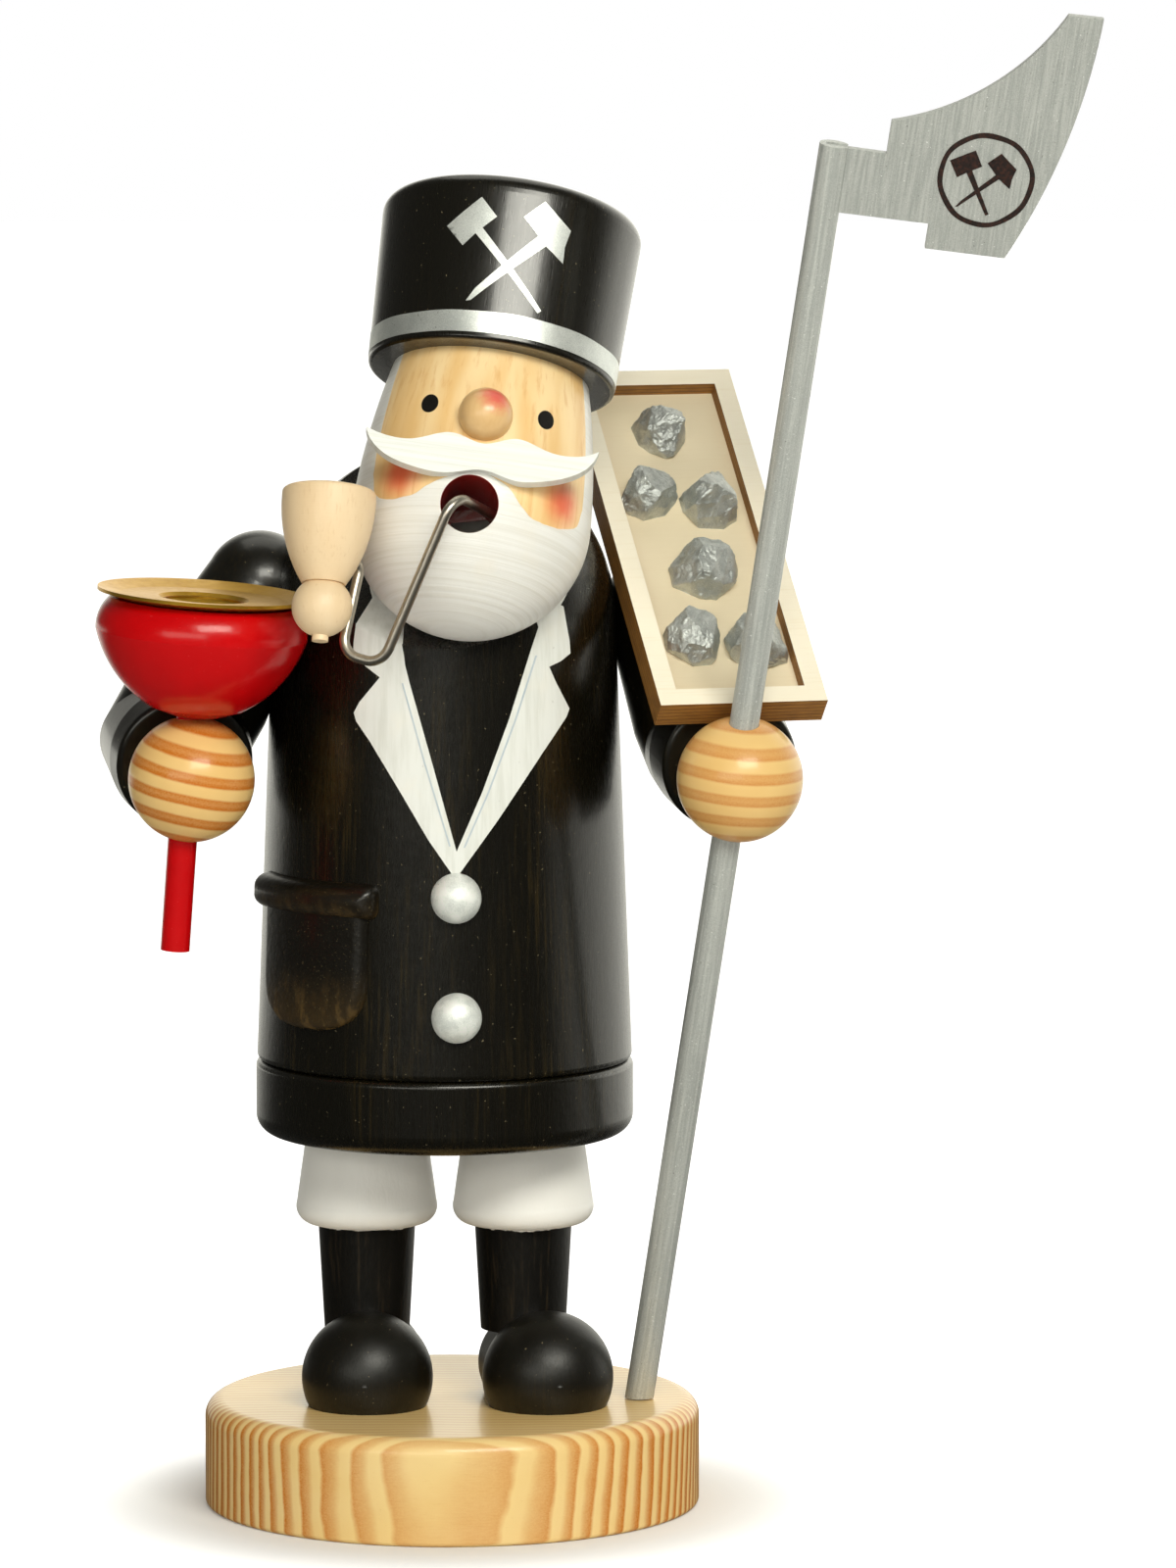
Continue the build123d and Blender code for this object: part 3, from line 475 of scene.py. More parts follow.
def leg_paint(name, shift):
    """White breeches over black boots; the white laps a little over the step."""
    r = Recipe(name)
    lap = r.times(r.noise((0.35, 0.35, 0.02), 3.0, 0.6, shift), 1.6)
    white_part = r.step(r.plus(r.z, lap), boot_top_z + 0.4, boot_top_z + 0.65)
    cloud = r.noise((0.08, 0.08, 0.06), 3.0, 0.5, shift + 3)
    fine = r.noise((1.2, 1.2, 0.4), 3.0, 0.6, shift + 6)
    # Lighter than the white paint elsewhere: painted light that makes up for the coat's shade on the
    # breeches.
    white = r.mix(cloud, (250, 249, 247), (244, 242, 238))
    streak = r.step(r.noise((1.0, 1.0, 0.04), 3.0, 0.6, shift + 9), 0.52, 0.8)
    black = r.mix(streak, (11, 9, 6), (48, 38, 24))
    tint = r.mix(white_part, black, white)
    rough = r.plus(0.32, r.times(fine, 0.16))
    height = r.plus(fine, r.times(white_part, 1.2))
    return r.finish(tint, rough, height, 0.08, specular_ior_level=0.4)


def red_lacquer(name):
    r = Recipe(name, lamp_place)
    cloud = r.noise(0.12, 3.0, 0.5, 2.0)
    fine = r.noise(1.6, 2.0, 0.5, 5.0)
    tint = r.mix(cloud, (206, 4, 10), (184, 2, 8))
    tint = r.wash(tint, specks(r, 2.0, 0.75, 6.0), 0.3, (224, 84, 84))
    return r.finish(tint, r.plus(0.2, r.times(fine, 0.08)), r.plus(cloud, r.times(fine, 0.1)), 0.12,
                    coat_weight=0.15, coat_roughness=0.08, specular_ior_level=0.28)


def brass(name):
    r = Recipe(name, lamp_place)
    spun = r.noise(0.6, 3.0, 0.6, 2.0)
    rings = r.add("TexNoise", noise_dimensions="1D")
    r.feed(rings.inputs["W"], r.times(r.from_axis(r.x, r.y), 3.0))
    tint = r.mix(spun, (214, 170, 62), (182, 134, 34))
    tint = r.wash(tint, r.step(spun, 0.6, 0.8), 0.35, (176, 124, 46))
    rough = r.plus(0.26, r.times(spun, 0.16))
    return r.finish(tint, rough, rings.outputs[0], 0.03, metallic=0.85)


def bare_metal(name, tint_low, tint_high, rough, along=(2.0, 2.0, 0.1)):
    r = Recipe(name)
    streak = r.noise(along, 3.0, 0.6, 3.0)
    tint = r.mix(streak, tint_low, tint_high)
    return r.finish(tint, r.plus(rough, r.times(streak, 0.12)), streak, 0.02, metallic=1.0)


def plywood(name, light=(250, 243, 226), dark=(244, 233, 210)):
    """Pale birch faces; laser-burnt brown edges with the veneers showing as lines."""
    r = Recipe(name, tray_place)
    out = tray_place.col[2].to_3d()
    flat = r.step(r.sum_up("ABSOLUTE", r.facing(out)), 0.5, 0.8)
    grain = r.noise((0.05, 1.6, 1.6), 4.0, 0.6, 1.0)
    cloud = r.noise((0.03, 0.06, 0.06), 2.0, 0.5, 4.0)
    face = r.mix(cloud, light, dark)
    face = r.wash(face, r.step(grain, 0.52, 0.8), 0.25, (226, 206, 168))
    veneer = r.sum_up("FRACT", r.plus(r.z, r.times(grain, 0.25)))
    line = r.sum_up("MAXIMUM", r.step(veneer, 0.16, 0.02), r.step(veneer, 0.86, 0.98))
    smoke = r.noise((0.25, 0.25, 0.8), 4.0, 0.65, 7.0)
    burnt = r.mix(smoke, (180, 126, 56), (112, 72, 26))
    burnt = r.wash(burnt, line, 0.7, (72, 42, 16))
    tint = r.mix(flat, burnt, face)
    rough = r.plus(0.55, r.times(grain, 0.15))
    return r.finish(tint, rough, r.plus(grain, r.times(line, -0.6)), 0.06)


def burnt_line(name):
    r = Recipe(name, staff_place)
    smoke = r.noise(1.6, 4.0, 0.65, 2.0)
    tint = r.mix(r.step(smoke, 0.4, 0.7), (26, 12, 9), (62, 28, 16))
    return r.finish(tint, r.plus(0.5, r.times(smoke, 0.2)), smoke, 0.1)


def shadow_line(name):
    """Thin blue-grey brush line on the collar."""
    r = Recipe(name)
    dry = r.noise(0.5, 3.0, 0.6, 4.0)
    tint = r.mix(dry, (166, 182, 196), (204, 212, 218))
    return r.finish(tint, r.plus(0.38, r.times(dry, 0.1)), dry, 0.03)


def eye_paint(name):
    r = Recipe(name, head_place)
    dry = r.noise(1.5, 3.0, 0.6, 4.0)
    tint = r.mix(dry, (10, 9, 8), (26, 23, 20))
    return r.finish(tint, r.plus(0.25, r.times(dry, 0.15)), dry, 0.03)


def dress(material, *names):
    """Gives carried-over nodes their finish."""
    for name in names:
        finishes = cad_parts[name].data.materials
        finishes.clear()
        finishes.append(material)


def shown(name, data):
    """New object in the scene."""
    piece = bpy.data.objects.new(name, data)
    scene.collection.objects.link(piece)
    return piece


# Painted marks: thin closed skins laid over the solids of the upper half

def mark(name, mesh, material, slot):
    """A painted piece that rides on the upper half."""
    piece = shown(name, mesh)
    mesh.materials.append(material)
    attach(piece, upper)
    return piece


def dense(points, step, closed=True):
    """The same outline with extra points on its straight runs."""
    ends = points[1:] + points[:1] if closed else points[1:]
    result = []
    for start, end in zip(points, ends):
        start, end = Vector(start), Vector(end)
        pieces = max(1, math.ceil((end - start).length / step))
        result += [start.lerp(end, piece / pieces) for piece in range(pieces)]
    return result if closed else result + [Vector(points[-1])]


def inside(point, loops):
    """Whether a ray from the point crosses the loops an odd number of times."""
    odd = False
    for loop in loops:
        for start, end in zip(loop, loop[1:] + loop[:1]):
            if (start[1] > point[1]) != (end[1] > point[1]):
                across = start[0] + (point[1] - start[1]) * (end[0] - start[0]) / (end[1] - start[1])
                odd = odd != (point[0] < across)
    return odd


def skin(name, loops, surface, step, material, slot, lift=paint_lift, creases=()):
    """Fills the loops with small triangles in the flat, lays them on the surface and gives them thickness."""
    points, edges = [], []
    for loop in list(loops) + list(creases):
        first = len(points)
        points += [Vector(point) for point in loop]
        edges += [(first + index, first + (index + 1) % len(loop)) for index in range(len(loop))]
    every = [point for loop in loops for point in loop]
    low, high = (Vector([pick(point[axis] for point in every) for axis in (0, 1)]) for pick in (min, max))
    rows = int((high.y - low.y) / step) + 1
    columns = int((high.x - low.x) / step) + 1
    for row in range(rows):
        for column in range(columns):
            point = low + Vector((column + 0.5 * (row % 2), row)) * step
            if inside(point, loops):
                points.append(point)
    flat, _, triangles, *_ = delaunay_2d_cdt(points, edges, [], 0, step * 0.01)
    kept = []
    for triangle in triangles:
        middle = sum((flat[index] for index in triangle), Vector((0, 0))) / 3
        if inside(middle, loops):
            kept.append(list(triangle))
    used = sorted({index for triangle in kept for index in triangle})
    number = {index: place for place, index in enumerate(used)}
    kept = [[number[index] for index in triangle] for triangle in kept]
    top = [surface(*flat[index], lift) for index in used]
    bottom = [surface(*flat[index], -paint_root) for index in used]
    count = len(used)
    a, b, c = (top[index] for index in kept[0])
    if (b - a).cross(c - a).dot(top[kept[0][0]] - bottom[kept[0][0]]) < 0:
        kept = [triangle[::-1] for triangle in kept]
    sides = [side for triangle in kept for side in zip(triangle, triangle[1:] + triangle[:1])]
    owned = set(sides)
    rim = [side for side in sides if side[::-1] not in owned]
    faces = list(kept)
    faces += [[index + count for index in reversed(triangle)] for triangle in kept]
    faces += [[end, start, start + count, end + count] for start, end in rim]
    mesh = bpy.data.meshes.new(name)
    mesh.from_pydata([point * mm for point in top + bottom], [], faces)
    mesh.validate()
    mesh.shade_smooth()
    rim_keys = {tuple(sorted(edge)) for edge in rim}
    rim_keys |= {(start + count, end + count) for start, end in rim_keys}
    for edge in mesh.edges:
        edge.use_edge_sharp = tuple(sorted(edge.vertices)) in rim_keys
    return mark(name, mesh, material, slot)


# The coat's chart: degrees round the neck's axis, seen from the middle of the dome

neck_rim_angle = math.degrees(math.acos(neck_flat_height / dome_radius))
coat_taper = (coat_hem_radius - dome_radius) / barrel_height


def chart_of(direction):
    """Chart place of a direction from the middle of the dome."""
    local = seat.to_3x3().transposed() @ direction.normalized()
    angle = math.degrees(math.acos(max(-1.0, min(1.0, local.z))))
    across = Vector((local.x, local.y))
    return Vector(across.normalized() * angle) if across.length > 0 else Vector((0, 0))


def coat_point(across, up, lift):
    """Point on the shoulder flat, the dome or the barrel, moved out by a lift."""
    angle = math.hypot(across, up)
    if angle > 0:
        local = Vector((across / angle * sine(angle), up / angle * sine(angle), cosine(angle)))
    else:
        local = Vector((0, 0, 1))
    ray = seat.to_3x3() @ local
    if angle < neck_rim_angle - 0.001:
        return dome_centre + ray * (neck_flat_height / local.z) + seat.to_3x3() @ Vector((0, 0, lift))
    if ray.z >= 0:
        return dome_centre + ray * (dome_radius + lift)
    level = Vector((ray.x, ray.y, 0))
    reach = dome_radius / (level.length + coat_taper * ray.z)
    out = Vector((level.normalized().x, level.normalized().y, coat_taper)).normalized()
    return dome_centre + ray * reach + out * lift


def front_chart(aside, height):
    """Chart place of a point of the coat's front: aside of the middle, and above the parting line."""
    z = parting_z + height
    if z > dome_z:
        radius = math.sqrt(dome_radius ** 2 - (z - dome_z) ** 2)
    else:
        radius = dome_radius + coat_taper * (dome_z - z)
    return chart_of(Vector((aside, -math.sqrt(radius ** 2 - aside ** 2), z - dome_z)))


def flat_chart(aside, up):
    """Chart place of a point given on the shoulder flat's plane."""
    return chart_of(seat.to_3x3() @ Vector((aside, up, neck_flat_height)))


def neck_arc(radius, start, end, count=48):
    """Arc round the foot of the head, counted from the figure's left over its back."""
    points = []
    for index in range(count + 1):
        turn = start + (end - start) * index / count
        aside = head_foot_aside + radius * cosine(turn)
        points.append(flat_chart(aside, radius * sine(turn) - head_foot_drop))
    return points


# Collar and lapels: each point is aside from the middle and above the parting line
left_lapel_outer = [(2.7, 40.9), (3.6, 41.5), (11.1, 51.8), (19.9, 64.7), (24.6, 71.4), (25.2, 73.0)]
left_collar_outer = [(22.6, 78.3), (21.2, 81.6), (23.4, 82.5), (25.4, 83.9), (25.2, 86.4), (24.0, 93.3)]
right_collar_outer = [(-17.3, 86.6), (-17.4, 84.4), (-15.2, 82.3), (-12.1, 80.0)]
right_lapel_outer = [
    (-16.2, 74.9), (-17.3, 72.8), (-16.8, 71.1), (-14.1, 67.3), (-7.9, 57.2), (-2.6, 48.2), (2.0, 41.5),
]
left_inner = [(3.0, 45.8), (8.1, 57.6), (13.4, 71.9), (17.6, 85.1), (19.1, 89.6)]
right_inner = [(-7.1, 82.6), (-6.3, 79.4), (-1.8, 63.4)]
collar_width_radius = 20.4
collar_root_radius = 15.4
collar_step = 1.2


def front_line(points):
    return [front_chart(*point) for point in dense(points, collar_step, closed=False)]


def collar(material):
    outer = front_line(left_lapel_outer + left_collar_outer)
    outer += neck_arc(collar_width_radius, -21, 196)
    outer += front_line(right_collar_outer + right_lapel_outer)
    inner = front_line(left_inner)
    inner += neck_arc(collar_root_radius, -40, 212)
    inner += front_line(right_inner)
    inner += front_line([right_inner[-1], left_inner[0]])[1:-1]
    fold = [Vector((sine(turn), cosine(turn))) * neck_rim_angle for turn in range(0, 360, 2)]
    skin("collar_and_lapels", [outer, inner], coat_point, 1.6, material, "white_paint", creases=[fold])


def collar_lines(material):
    """Brush lines that run just outside the lapels' inner edges."""
    width, inset = 0.34, 0.15
    runs = {
        "collar_line_left": ([(4.2, 46.6), (8.9, 57.3), (14.3, 71.7), (18.3, 84.0)], 1),
        "collar_line_right": ([(2.0, 46.9), (-2.9, 63.2), (-7.3, 79.0)], -1),
    }
    for name, (run, side) in runs.items():
        middle = dense(run, 1.0, closed=False)
        near = [front_chart(point.x + side * inset, point.y) for point in middle]
        far = [front_chart(point.x + side * (inset + width), point.y) for point in middle]
        skin(name, [near + far[::-1]], coat_point, 2.0, material, "white_paint", 2 * paint_lift)


# The pocket: plates with rounded edges that hug the barrel, charted by arc and height

pocket_turn = -45.7
pouch_half_width = 15.3
pouch_bottom = 9.2
pouch_bottom_rise = 10.5
pouch_top = 36.0
pouch_fullness_share = 0.78
flap_middle = 35.5
flap_half_height = 3.6
flap_right_end = 17.3
flap_left_end = -19.5
flap_end_round = 2.2
pouch_thickness = 2.1
pouch_edge_round = 2.6
flap_thickness = 3.7
flap_edge_round = 3.6
pocket_step = 0.6
pocket_arc_depth = 2.0
pouch_brown_span = (9, 26)
flap_brown_span = (30, 40)


def barrel_point(arc, height, lift):
    """Point on the barrel, by its arc from the pocket's middle and its height over the parting line."""
    radius = dome_radius + coat_taper * (barrel_height - height)
    turn = pocket_turn + math.degrees(arc / (radius + pocket_arc_depth))
    reach = radius + lift
    return Vector((figure_x + reach * sine(turn), -reach * cosine(turn), parting_z + height))


def pouch_outline():
    bottom = []
    for turn in range(180, 361, 6):
        across = math.copysign(abs(cosine(turn)) ** pouch_fullness_share, cosine(turn))
        down = abs(sine(turn)) ** pouch_fullness_share
        bottom.append((pouch_half_width * across, pouch_bottom + pouch_bottom_rise * (1 - down)))
    top = [(pouch_half_width, pouch_top), (-pouch_half_width, pouch_top)]
    return dense(bottom + top, pocket_step)


def flap_outline():
    middle_x = (flap_right_end + flap_left_end) / 2
    reach_x = (flap_right_end - flap_left_end) / 2 - flap_end_round
    reach_y = flap_half_height - flap_end_round
    outline = []
    for side_x, side_y, first in ((1, 1, 0), (-1, 1, 90), (-1, -1, 180), (1, -1, 270)):
        for turn in range(first, first + 91, 15):
            outline.append((middle_x + side_x * reach_x + flap_end_round * cosine(turn),
                            flap_middle + side_y * reach_y + flap_end_round * sine(turn)))
    return dense(outline, pocket_step)


def edge_distance(point, outline):
    gaps = []
    for start, end in zip(outline, outline[1:] + outline[:1]):
        run = end - start
        if run.length > 0:
            share = max(0.0, min(1.0, (point - start).dot(run) / run.length_squared))
            gaps.append((point - start - run * share).length)
    return min(gaps)


def plate(name, outline, thickness, edge_round, step, material, node):
    """Plate on the barrel that rounds in from its outline; it stands for a node."""
    def surface(arc, height, lift):
        if lift < 0:
            return barrel_point(arc, height, lift)
        share = min(1.0, edge_distance(Vector((arc, height)), outline) / edge_round)
        return barrel_point(arc, height, thickness * math.sqrt(share * (2 - share)))

    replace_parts(skin(name, [outline], surface, step, material, "black_lacquer"), node)
    dress(material, node)


def pocket():
    look = lower_brown_lacquer("lacquer_pouch", pouch_brown_span, 3.0)
    plate("pocket_pouch_plate", pouch_outline(), pouch_thickness, pouch_edge_round, 0.6, look, "pocket_pouch")
    look = lower_brown_lacquer("lacquer_flap", flap_brown_span, 6.0)
    plate("pocket_flap_roll", flap_outline(), flap_thickness, flap_edge_round, 0.45, look, "pocket_flap")


# The hat's chart: arc length from the front, and height above the head's middle

def hat_radius(height):
    return hat_foot_radius + hat_flare * (height - head_height) / hat_flare_height


def turned_point(radius, arc, height, lift):
    """Point round the head's own axis, by its arc from the front."""
    turn = arc / radius
    reach = radius + lift
    return head_place @ Vector((reach * math.sin(turn), -reach * math.cos(turn), height))


def hat_point(arc, height, lift):
    return turned_point(hat_radius(height), arc, height, lift)


def mallet_outline(foot, turn, length, head_width, head_tall, handle_width):
    """Square-headed hammer; its foot is at a point and it leans by a turn."""
    half = handle_width / 2
    neck = length - head_tall
    shape = [
        (-half * 0.55, 0), (half * 0.55, 0), (half, neck), (head_width / 2, neck),
        (head_width * 0.51, length * 0.995), (-head_width / 2, length),
        (-head_width * 0.49, neck - length * 0.012), (-half, neck),
    ]
    return placed(shape, foot, turn)


def pick_outline(foot, turn, length, head_width, head_tall, handle_width):
    """Pointed hammer: square on its left, drawn out to a tip on its right."""
    half = handle_width / 2
    neck = length - head_tall
    reach = head_width / 2
    shape = [
        (-half * 0.15, 0), (half * 0.3, length * 0.03), (half, neck), (reach * 1.02, neck + head_tall * 0.14),
        (reach * 0.62, neck + head_tall * 0.55), (reach * 0.3, length * 1.02), (-reach * 0.35, length),
        (-reach, neck + head_tall * 0.94), (-reach * 1.02, neck + head_tall * 0.02), (-half, neck),
        (-half * 0.7, length * 0.12),
    ]
    return placed(shape, foot, turn)


def placed(shape, foot, turn):
    """Outline leaned by a turn to the viewer's left and moved to its foot."""
    return [
        Vector((foot[0] + x * cosine(turn) - y * sine(turn), foot[1] + x * sine(turn) + y * cosine(turn)))
        for x, y in shape
    ]


def crossed_hammers(prefix, mallet, pick, detail, surface, step, material, pick_lift):
    mallet, pick = dense(mallet_outline(**mallet), detail), dense(pick_outline(**pick), detail)
    skin(prefix + "_mallet", [mallet], surface, step, material, "silver_paint")
    skin(prefix + "_pick", [pick], surface, step, material, "silver_paint", pick_lift)


def hat_marks(material):
    """Silver band above the hat's lip, and the crossed hammers on its front."""
    middle_height = 33.1
    half_height = 2.15
    radius = hat_radius(middle_height)
    turns = 180
    low, high = [], []
    for index in range(turns):
        turn = 2 * math.pi * index / turns
        wave = 0.12 * math.sin(3 * turn + 0.8) + 0.05 * math.sin(11 * turn)
        low.append((turn * radius, middle_height - half_height + 0.5 * wave))
        high.append((turn * radius, middle_height + half_height + wave))
    band_ring(low, high, material)
    mallet = dict(foot=(7.7, 36.9), turn=43.8, length=25.6, head_width=8.8, head_tall=5.3, handle_width=1.75)
    pick = dict(foot=(-6.9, 37.0), turn=-43.0, length=25.2, head_width=11.6, head_tall=5.9, handle_width=2.5)
    crossed_hammers("hat", mallet, pick, 1.0, hat_point, 1.2, material, 1.4 * paint_lift)


def band_ring(low, high, material):
    """Closed ring of paint round the hat."""
    edges = ((low, paint_lift), (high, paint_lift), (high, -paint_root), (low, -paint_root))
    points = [hat_point(arc, height, lift) for edge, lift in edges for arc, height in edge]
    count = len(low)
    faces = []
    for row in range(len(edges)):
        first, second = row * count, (row + 1) % len(edges) * count
        for index in range(count):
            after = (index + 1) % count
            faces.append([first + index, first + after, second + after, second + index])
    mesh = bpy.data.meshes.new("hat_band")
    mesh.from_pydata([point * mm for point in points], [], faces)
    mesh.shade_smooth()
    for edge in mesh.edges:
        edge.use_edge_sharp = edge.vertices[0] // count == edge.vertices[1] // count
    mark("hat_band", mesh, material, "silver_paint")


# Eyes

def head_face_radius(height):
    """Radius of the face's arc through its widest, middle and top radius."""
    span = head_height / 2
    bulge = head_middle_radius - (head_radius + head_top_radius) / 2
    slope = (head_top_radius - head_radius) / head_height
    share = (height - span) / span
    return head_radius + slope * height + bulge * (1 - share ** 2)


def head_point(arc, height, lift):
    return turned_point(head_face_radius(height), arc, height, lift)


def eyes(material):
    half_wide, half_tall = 1.85, 1.95
    ring = [(half_wide * cosine(turn), half_tall * sine(turn)) for turn in range(0, 360, 10)]
    for name, arc, height in (("right_eye", -11.6, 16.85), ("left_eye", 12.4, 16.9)):
        outline = [Vector((arc + across, height + up)) for across, up in ring]
        skin(name, [outline], head_point, 0.6, material, "painted_head", 1.6 * paint_lift)


# Emblem burnt into the axe blade

def blade_point(across, along, lift):
    """Point on the blade's front, from the top of the staff."""
    return blade_place @ Vector((across, -(blade_thickness / 2 + lift), along))


def blade_emblem(material):
    middle = Vector((29.8, -2.75))
    outer_radius, inner_radius = 9.35, 8.35
    outer, inner = [], []
    for turn in range(0, 360, 5):
        wave = 0.1 * sine(3 * turn + 20) + 0.06 * sine(8 * turn)
        outer.append(middle + Vector((cosine(turn), sine(turn))) * (outer_radius + wave))
        inner.append(middle + Vector((cosine(turn + 4), sine(turn + 4))) * (inner_radius + 1.3 * wave))
    skin("blade_ring", [outer, inner], blade_point, 0.9, material, "silver_paint")
    mallet = dict(foot=(31.1, -9.6), turn=30.2, length=12.8, head_width=5.3, head_tall=3.5, handle_width=1.2)
    pick = dict(foot=(24.8, -8.9), turn=-45.5, length=13.6, head_width=6.6, head_tall=3.6, handle_width=1.05)
    crossed_hammers("blade", mallet, pick, 0.6, blade_point, 0.8, material, 1.3 * paint_lift)


# Ore

stone_count = 6
stone_voxel = 0.2
stone_growth = Vector((1.13, 1.2, 1.18))
stone_foot_height = 0.8
stone_cuts = 19
least_reach, reach_spread = 0.74, 0.16
chips_per_mm, chip_depth = 0.42, 0.55
crinkles_per_mm, crinkle_depth = 1.2, 0.24
skin_drop = 0.15


def flat_faces(points):
    """Clips a lump by planes that look up and out, each a little inside its reach."""
    for _ in range(stone_cuts):
        out = noise.random_unit_vector()
        out = Vector((out.x, out.y, abs(out.z) * 0.8)).normalized()
        reaches = [point.dot(out) for point in points]
        limit = max(reaches) * (least_reach + reach_spread * noise.random())
        points = [point - out * max(0.0, reach - limit) for point, reach in zip(points, reaches)]
    return points


def rough_stone(name, seed, material):
    """The node's chipped lump, larger and broken to flat faces with a crinkled skin; its foot stays flat."""
    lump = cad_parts[name].data.copy()
    lump.name = name + "_rough"
    stone = shown(name + "_rough", lump)
    remesh = stone.modifiers.new("remesh", "REMESH")
    remesh.mode = "VOXEL"
    remesh.voxel_size = stone_voxel * mm
    shaped = bpy.data.meshes.new_from_object(stone.evaluated_get(bpy.context.evaluated_depsgraph_get()))
    stone.modifiers.clear()
    stone.data = shaped
    inverse = tray_place.inverted()
    points = [inverse @ (vertex.co / mm) for vertex in shaped.vertices]
    foot = Vector((0, 0, min(point.z for point in points)))
    foot.x = sum(point.x for point in points) / len(points)
    foot.y = sum(point.y for point in points) / len(points)
    noise.seed_set(seed + 20)
    points = flat_faces([(point - foot) * stone_growth for point in points])
    for vertex, point in zip(shaped.vertices, points):
        vertex.co = (tray_place @ (point + foot)) * mm
    shaped.update()
    offset = Vector((seed * 17.3, seed * 5.1, seed * 29.7))
    normals = [vertex.normal.copy() for vertex in shaped.vertices]
    for vertex, point, normal in zip(shaped.vertices, points, normals):
        free = min(1.0, max(0.0, point.z / stone_foot_height))
        chip = noise.voronoi(point * chips_per_mm + offset)[0][0] * chip_depth
        crinkle = noise.turbulence(point * crinkles_per_mm + offset, 3, True) * crinkle_depth
        vertex.co += normal * (chip - crinkle - skin_drop) * free * mm
    shaped.shade_smooth()
    shaped.materials.clear()
    shaped.materials.append(material)
    bpy.data.meshes.remove(lump)
    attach(stone, upper)
    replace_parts(stone, name)


# Stage, light and camera: the lamps' places and sizes and the floor's reach are in metres

floor_reach = 6.0
floor_gap = 0.02
paper_white = (0.8, 0.8, 0.8, 1.0)

# Each is where a rise starts and ends, and the strength at its start and end
floor_glow = (0.05, 0.095, 0.12, 0.95)
floor_sheen = (0.14, 0.6, 0.05, 1.3)
room_glow = (0.42, 0.95, 0.07, 1.7)

lamp_aim = (0, 0, 0.16)
camera_place = (27.5, -1700.0, 332.0)
camera_tilt = 6.2


def studio():
    """White floor: it shades round the object, glows white far off, and mirrors dark in front of it."""
    mesh = bpy.data.meshes.new("floor")
    corners = [(floor_reach * x, floor_reach * y, 0) for x, y in ((-1, -1), (1, -1), (1, 1), (-1, 1))]
    mesh.from_pydata(corners, [], [(0, 1, 2, 3)])
    floor = shown("floor", mesh)
    floor.location.z = -floor_gap * mm
    material = bpy.data.materials.new("floor_white")
    material.use_nodes = True
    material.node_tree.nodes.clear()
    net = Wiring(material.node_tree)
    place = net.add("TexCoord").outputs["Object"]
    path = net.add("LightPath").outputs
    far_off = net.step(net.measure("LENGTH", place), *floor_glow)
    glow = net.fill("Emission", (1, 1, 1, 1), net.times(path["Is Camera Ray"], far_off))
    behind = net.span(net.measure("DOT_PRODUCT", place, bright_side), *floor_sheen)
    sheen = net.fill("Emission", warm_white, behind)
    paper = net.fill("BsdfDiffuse", paper_white)
    mirrored = net.fill("MixShader", path["Is Glossy Ray"], paper, sheen)
    net.feed(net.add("OutputMaterial").inputs["Surface"], net.fill("AddShader", glow, mirrored))
    mesh.materials.append(material)


def surroundings():
    """The camera sees white; surfaces see white on the bright side and a dim room elsewhere."""
    world = bpy.data.worlds.new("studio")
    scene.world = world
    world.use_nodes = True
    net = Wiring(world.node_tree)
    background = net.tree.nodes["Background"]
    direction = net.add("TexCoord").outputs["Generated"]
    camera_ray = net.add("LightPath").outputs["Is Camera Ray"]
    behind = net.step(net.measure("DOT_PRODUCT", direction, bright_side), *room_glow)
    room = net.times(behind, net.minus(1.0, camera_ray))
    net.feed(background.inputs["Strength"], net.plus(room, camera_ray))
    net.feed(background.inputs["Color"], net.mix(camera_ray, warm_white, (1, 1, 1, 1)))


def lamp(name, place, width, height, watts):
    """Soft box that looks at the figure's middle."""
    data = bpy.data.lights.new(name, "AREA")
    data.shape = "RECTANGLE"
    data.size, data.size_y = width, height
    data.energy = watts
    data.color = warm_white[:3]
    light = shown(name, data)
    light.location = place
    light.rotation_euler = (Vector(lamp_aim) - Vector(place)).to_track_quat("-Z", "Y").to_euler()


def lights():
    lamp("key", (0.34, -1.05, 0.88), 0.8, 0.38, 13.0)
    lamp("fill", (-0.45, -1.5, 0.5), 1.4, 0.36, 5.5)
    lamp("top", (0.0, 0.4, 1.25), 1.0, 0.7, 2.5)


def camera():
    """Long lens in front and a little above, as the photograph was taken."""
    image_height, focal_pixels, rise_pixels = 1600, 8680, 6.6
    data = bpy.data.cameras.new("camera")
    data.sensor_width = 36
    data.lens = focal_pixels / image_height * data.sensor_width
    data.shift_y = -rise_pixels / image_height
    data.clip_start, data.clip_end = 0.05, 50
    view = shown("camera", data)
    view.location = Vector(camera_place) * mm
    view.rotation_euler = Euler((math.radians(90 - camera_tilt), 0, 0))
    scene.camera = view


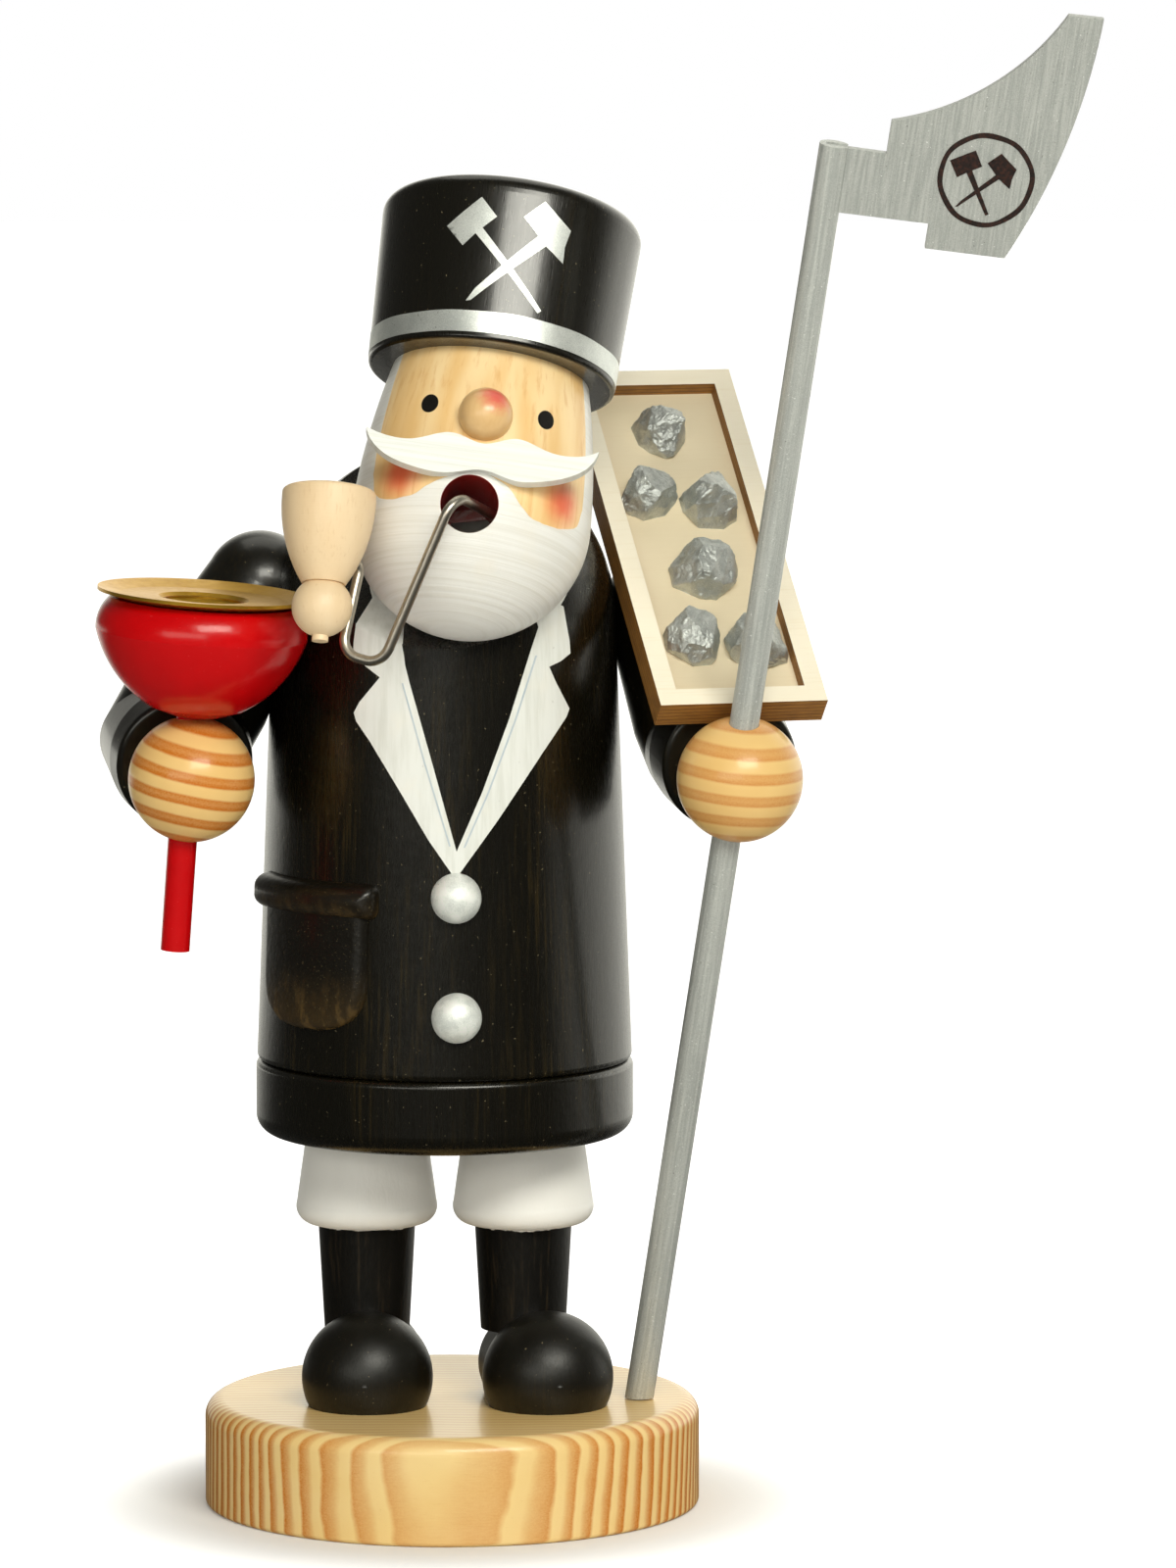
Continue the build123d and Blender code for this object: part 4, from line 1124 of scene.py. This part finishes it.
def wood_and_lacquer():
    base_layers = [(0, 0), (0.3, 0.08), (0.52, 0.7), (0.86, 1.15), (1, 0)]
    hand_layers = [(0, 0), (0.42, 0.02), (0.52, 0.95), (0.7, 0.8), (0.9, 1.1), (1, 0)]
    dress(pine("pine_base", None, 2.7, base_layers), "base_disc")
    hands = (("right_hand", -11, 4.45, 3.0, 0.9), ("left_hand", -3, 4.5, 8.0, 0.55))
    for name, tilt, gap, shift, deep in hands:
        place = axes((0.12, -cosine(tilt), -0.1), (cosine(tilt), 0.1, sine(tilt)), centre(name))
        dress(pine("pine_" + name, place, gap, hand_layers, 0.35, shift, deep, 0.95, hand_tones), name)
    dress(black_lacquer("lacquer_coat"), "coat")
    dress(black_lacquer("lacquer_hem", shift=21.0), "lower_body")
    dress(black_lacquer("lacquer_shoes", None, 0.15, 5.0, 0.34, 0.0, 0.45), "right_shoe", "left_shoe")
    dress(black_lacquer("lacquer_arms", None, 0.2, 9.0, 0.26, 0.3, 0.5),
          "right_upper_arm", "left_upper_arm", "right_forearm", "left_forearm")
    dress(black_lacquer("lacquer_hat", head_place, 0.15, 14.0, 0.22, 0.5, 0.5), "hat")
    dress(red_lacquer("red_lacquer"), "lamp_bowl", "lamp_handle")
    dress(beech("bare_beech", pipe_place), "pipe_bowl")
    dress(beech("bare_beech_ball", pipe_place, 6.0), "pipe_ball")
    dress(beech("bare_dowel", None, 12.0),
          "right_shoulder_dowel", "left_shoulder_dowel", "right_wrist_dowel", "left_wrist_dowel")
    dress(plywood("birch_ply"), "tray_frame")
    # The tray floor's faces are darker than the frame's: painted shade for the shadow that the frame, hat and
    # body cast on it.
    dress(plywood("birch_floor_painted_shade", (240, 226, 198), (232, 216, 182)), "tray_floor")


def paint_and_metal():
    dress(leg_paint("paint_right_leg", 2.0), "right_leg")
    dress(leg_paint("paint_left_leg", 7.0), "left_leg")
    dress(head_paint(), "head")
    dress(nose_paint(), "nose")
    dress(white_paint("paint_moustache", head_place, 0.1, 4.0), "moustache")
    # The buttons' silver is 1.3 times lighter, its light tone past white: painted highlight.
    dress(silver_paint("silver_buttons_painted_highlight", None, 1.3, 0.3, 0.08), "upper_button", "lower_button")
    dress(silver_paint("silver_staff", staff_place, 1.0, 0.25, 0.05, (1.6, 1.6, 0.05)), "staff")
    dress(silver_paint("silver_blade", staff_place, 0.93, 0.2, 0.04, (2.4, 2.4, 0.1), 4.0), "axe_blade")
    dress(brass("brass"), "candle_cup", "wax_saucer")
    dress(bare_metal("steel_wire", (222, 216, 204), (176, 168, 154), 0.3), "pipe_stem")
    dress(bare_metal("tin_plate", (190, 186, 176), (150, 140, 124), 0.3, 0.6), "incense_plate")
    dress(bare_metal("nail_steel", (170, 168, 162), (140, 136, 128), 0.28), "plate_nail")


def ore():
    silver = silver_paint("silver_ore", tray_place, 1.05, 0.85, 0.1, 0.3, 3.0)
    for number in range(1, stone_count + 1):
        rough_stone(f"ore_stone_{number}", number, silver)


wood_and_lacquer()
paint_and_metal()
collar(white_paint("paint_collar", None, 0.1, 11.0, (0.7, 0.7, 0.06)))
collar_lines(shadow_line("collar_shadow"))
hat_marks(silver_paint("silver_hat", head_place, 1.2, 0.75, 0.03, 0.1, 6.0))
eyes(eye_paint("eye_black"))
pocket()
blade_emblem(burnt_line("burnt_wood"))
ore()
studio()
surroundings()
lights()
camera()
scene.view_settings.view_transform = "Standard"
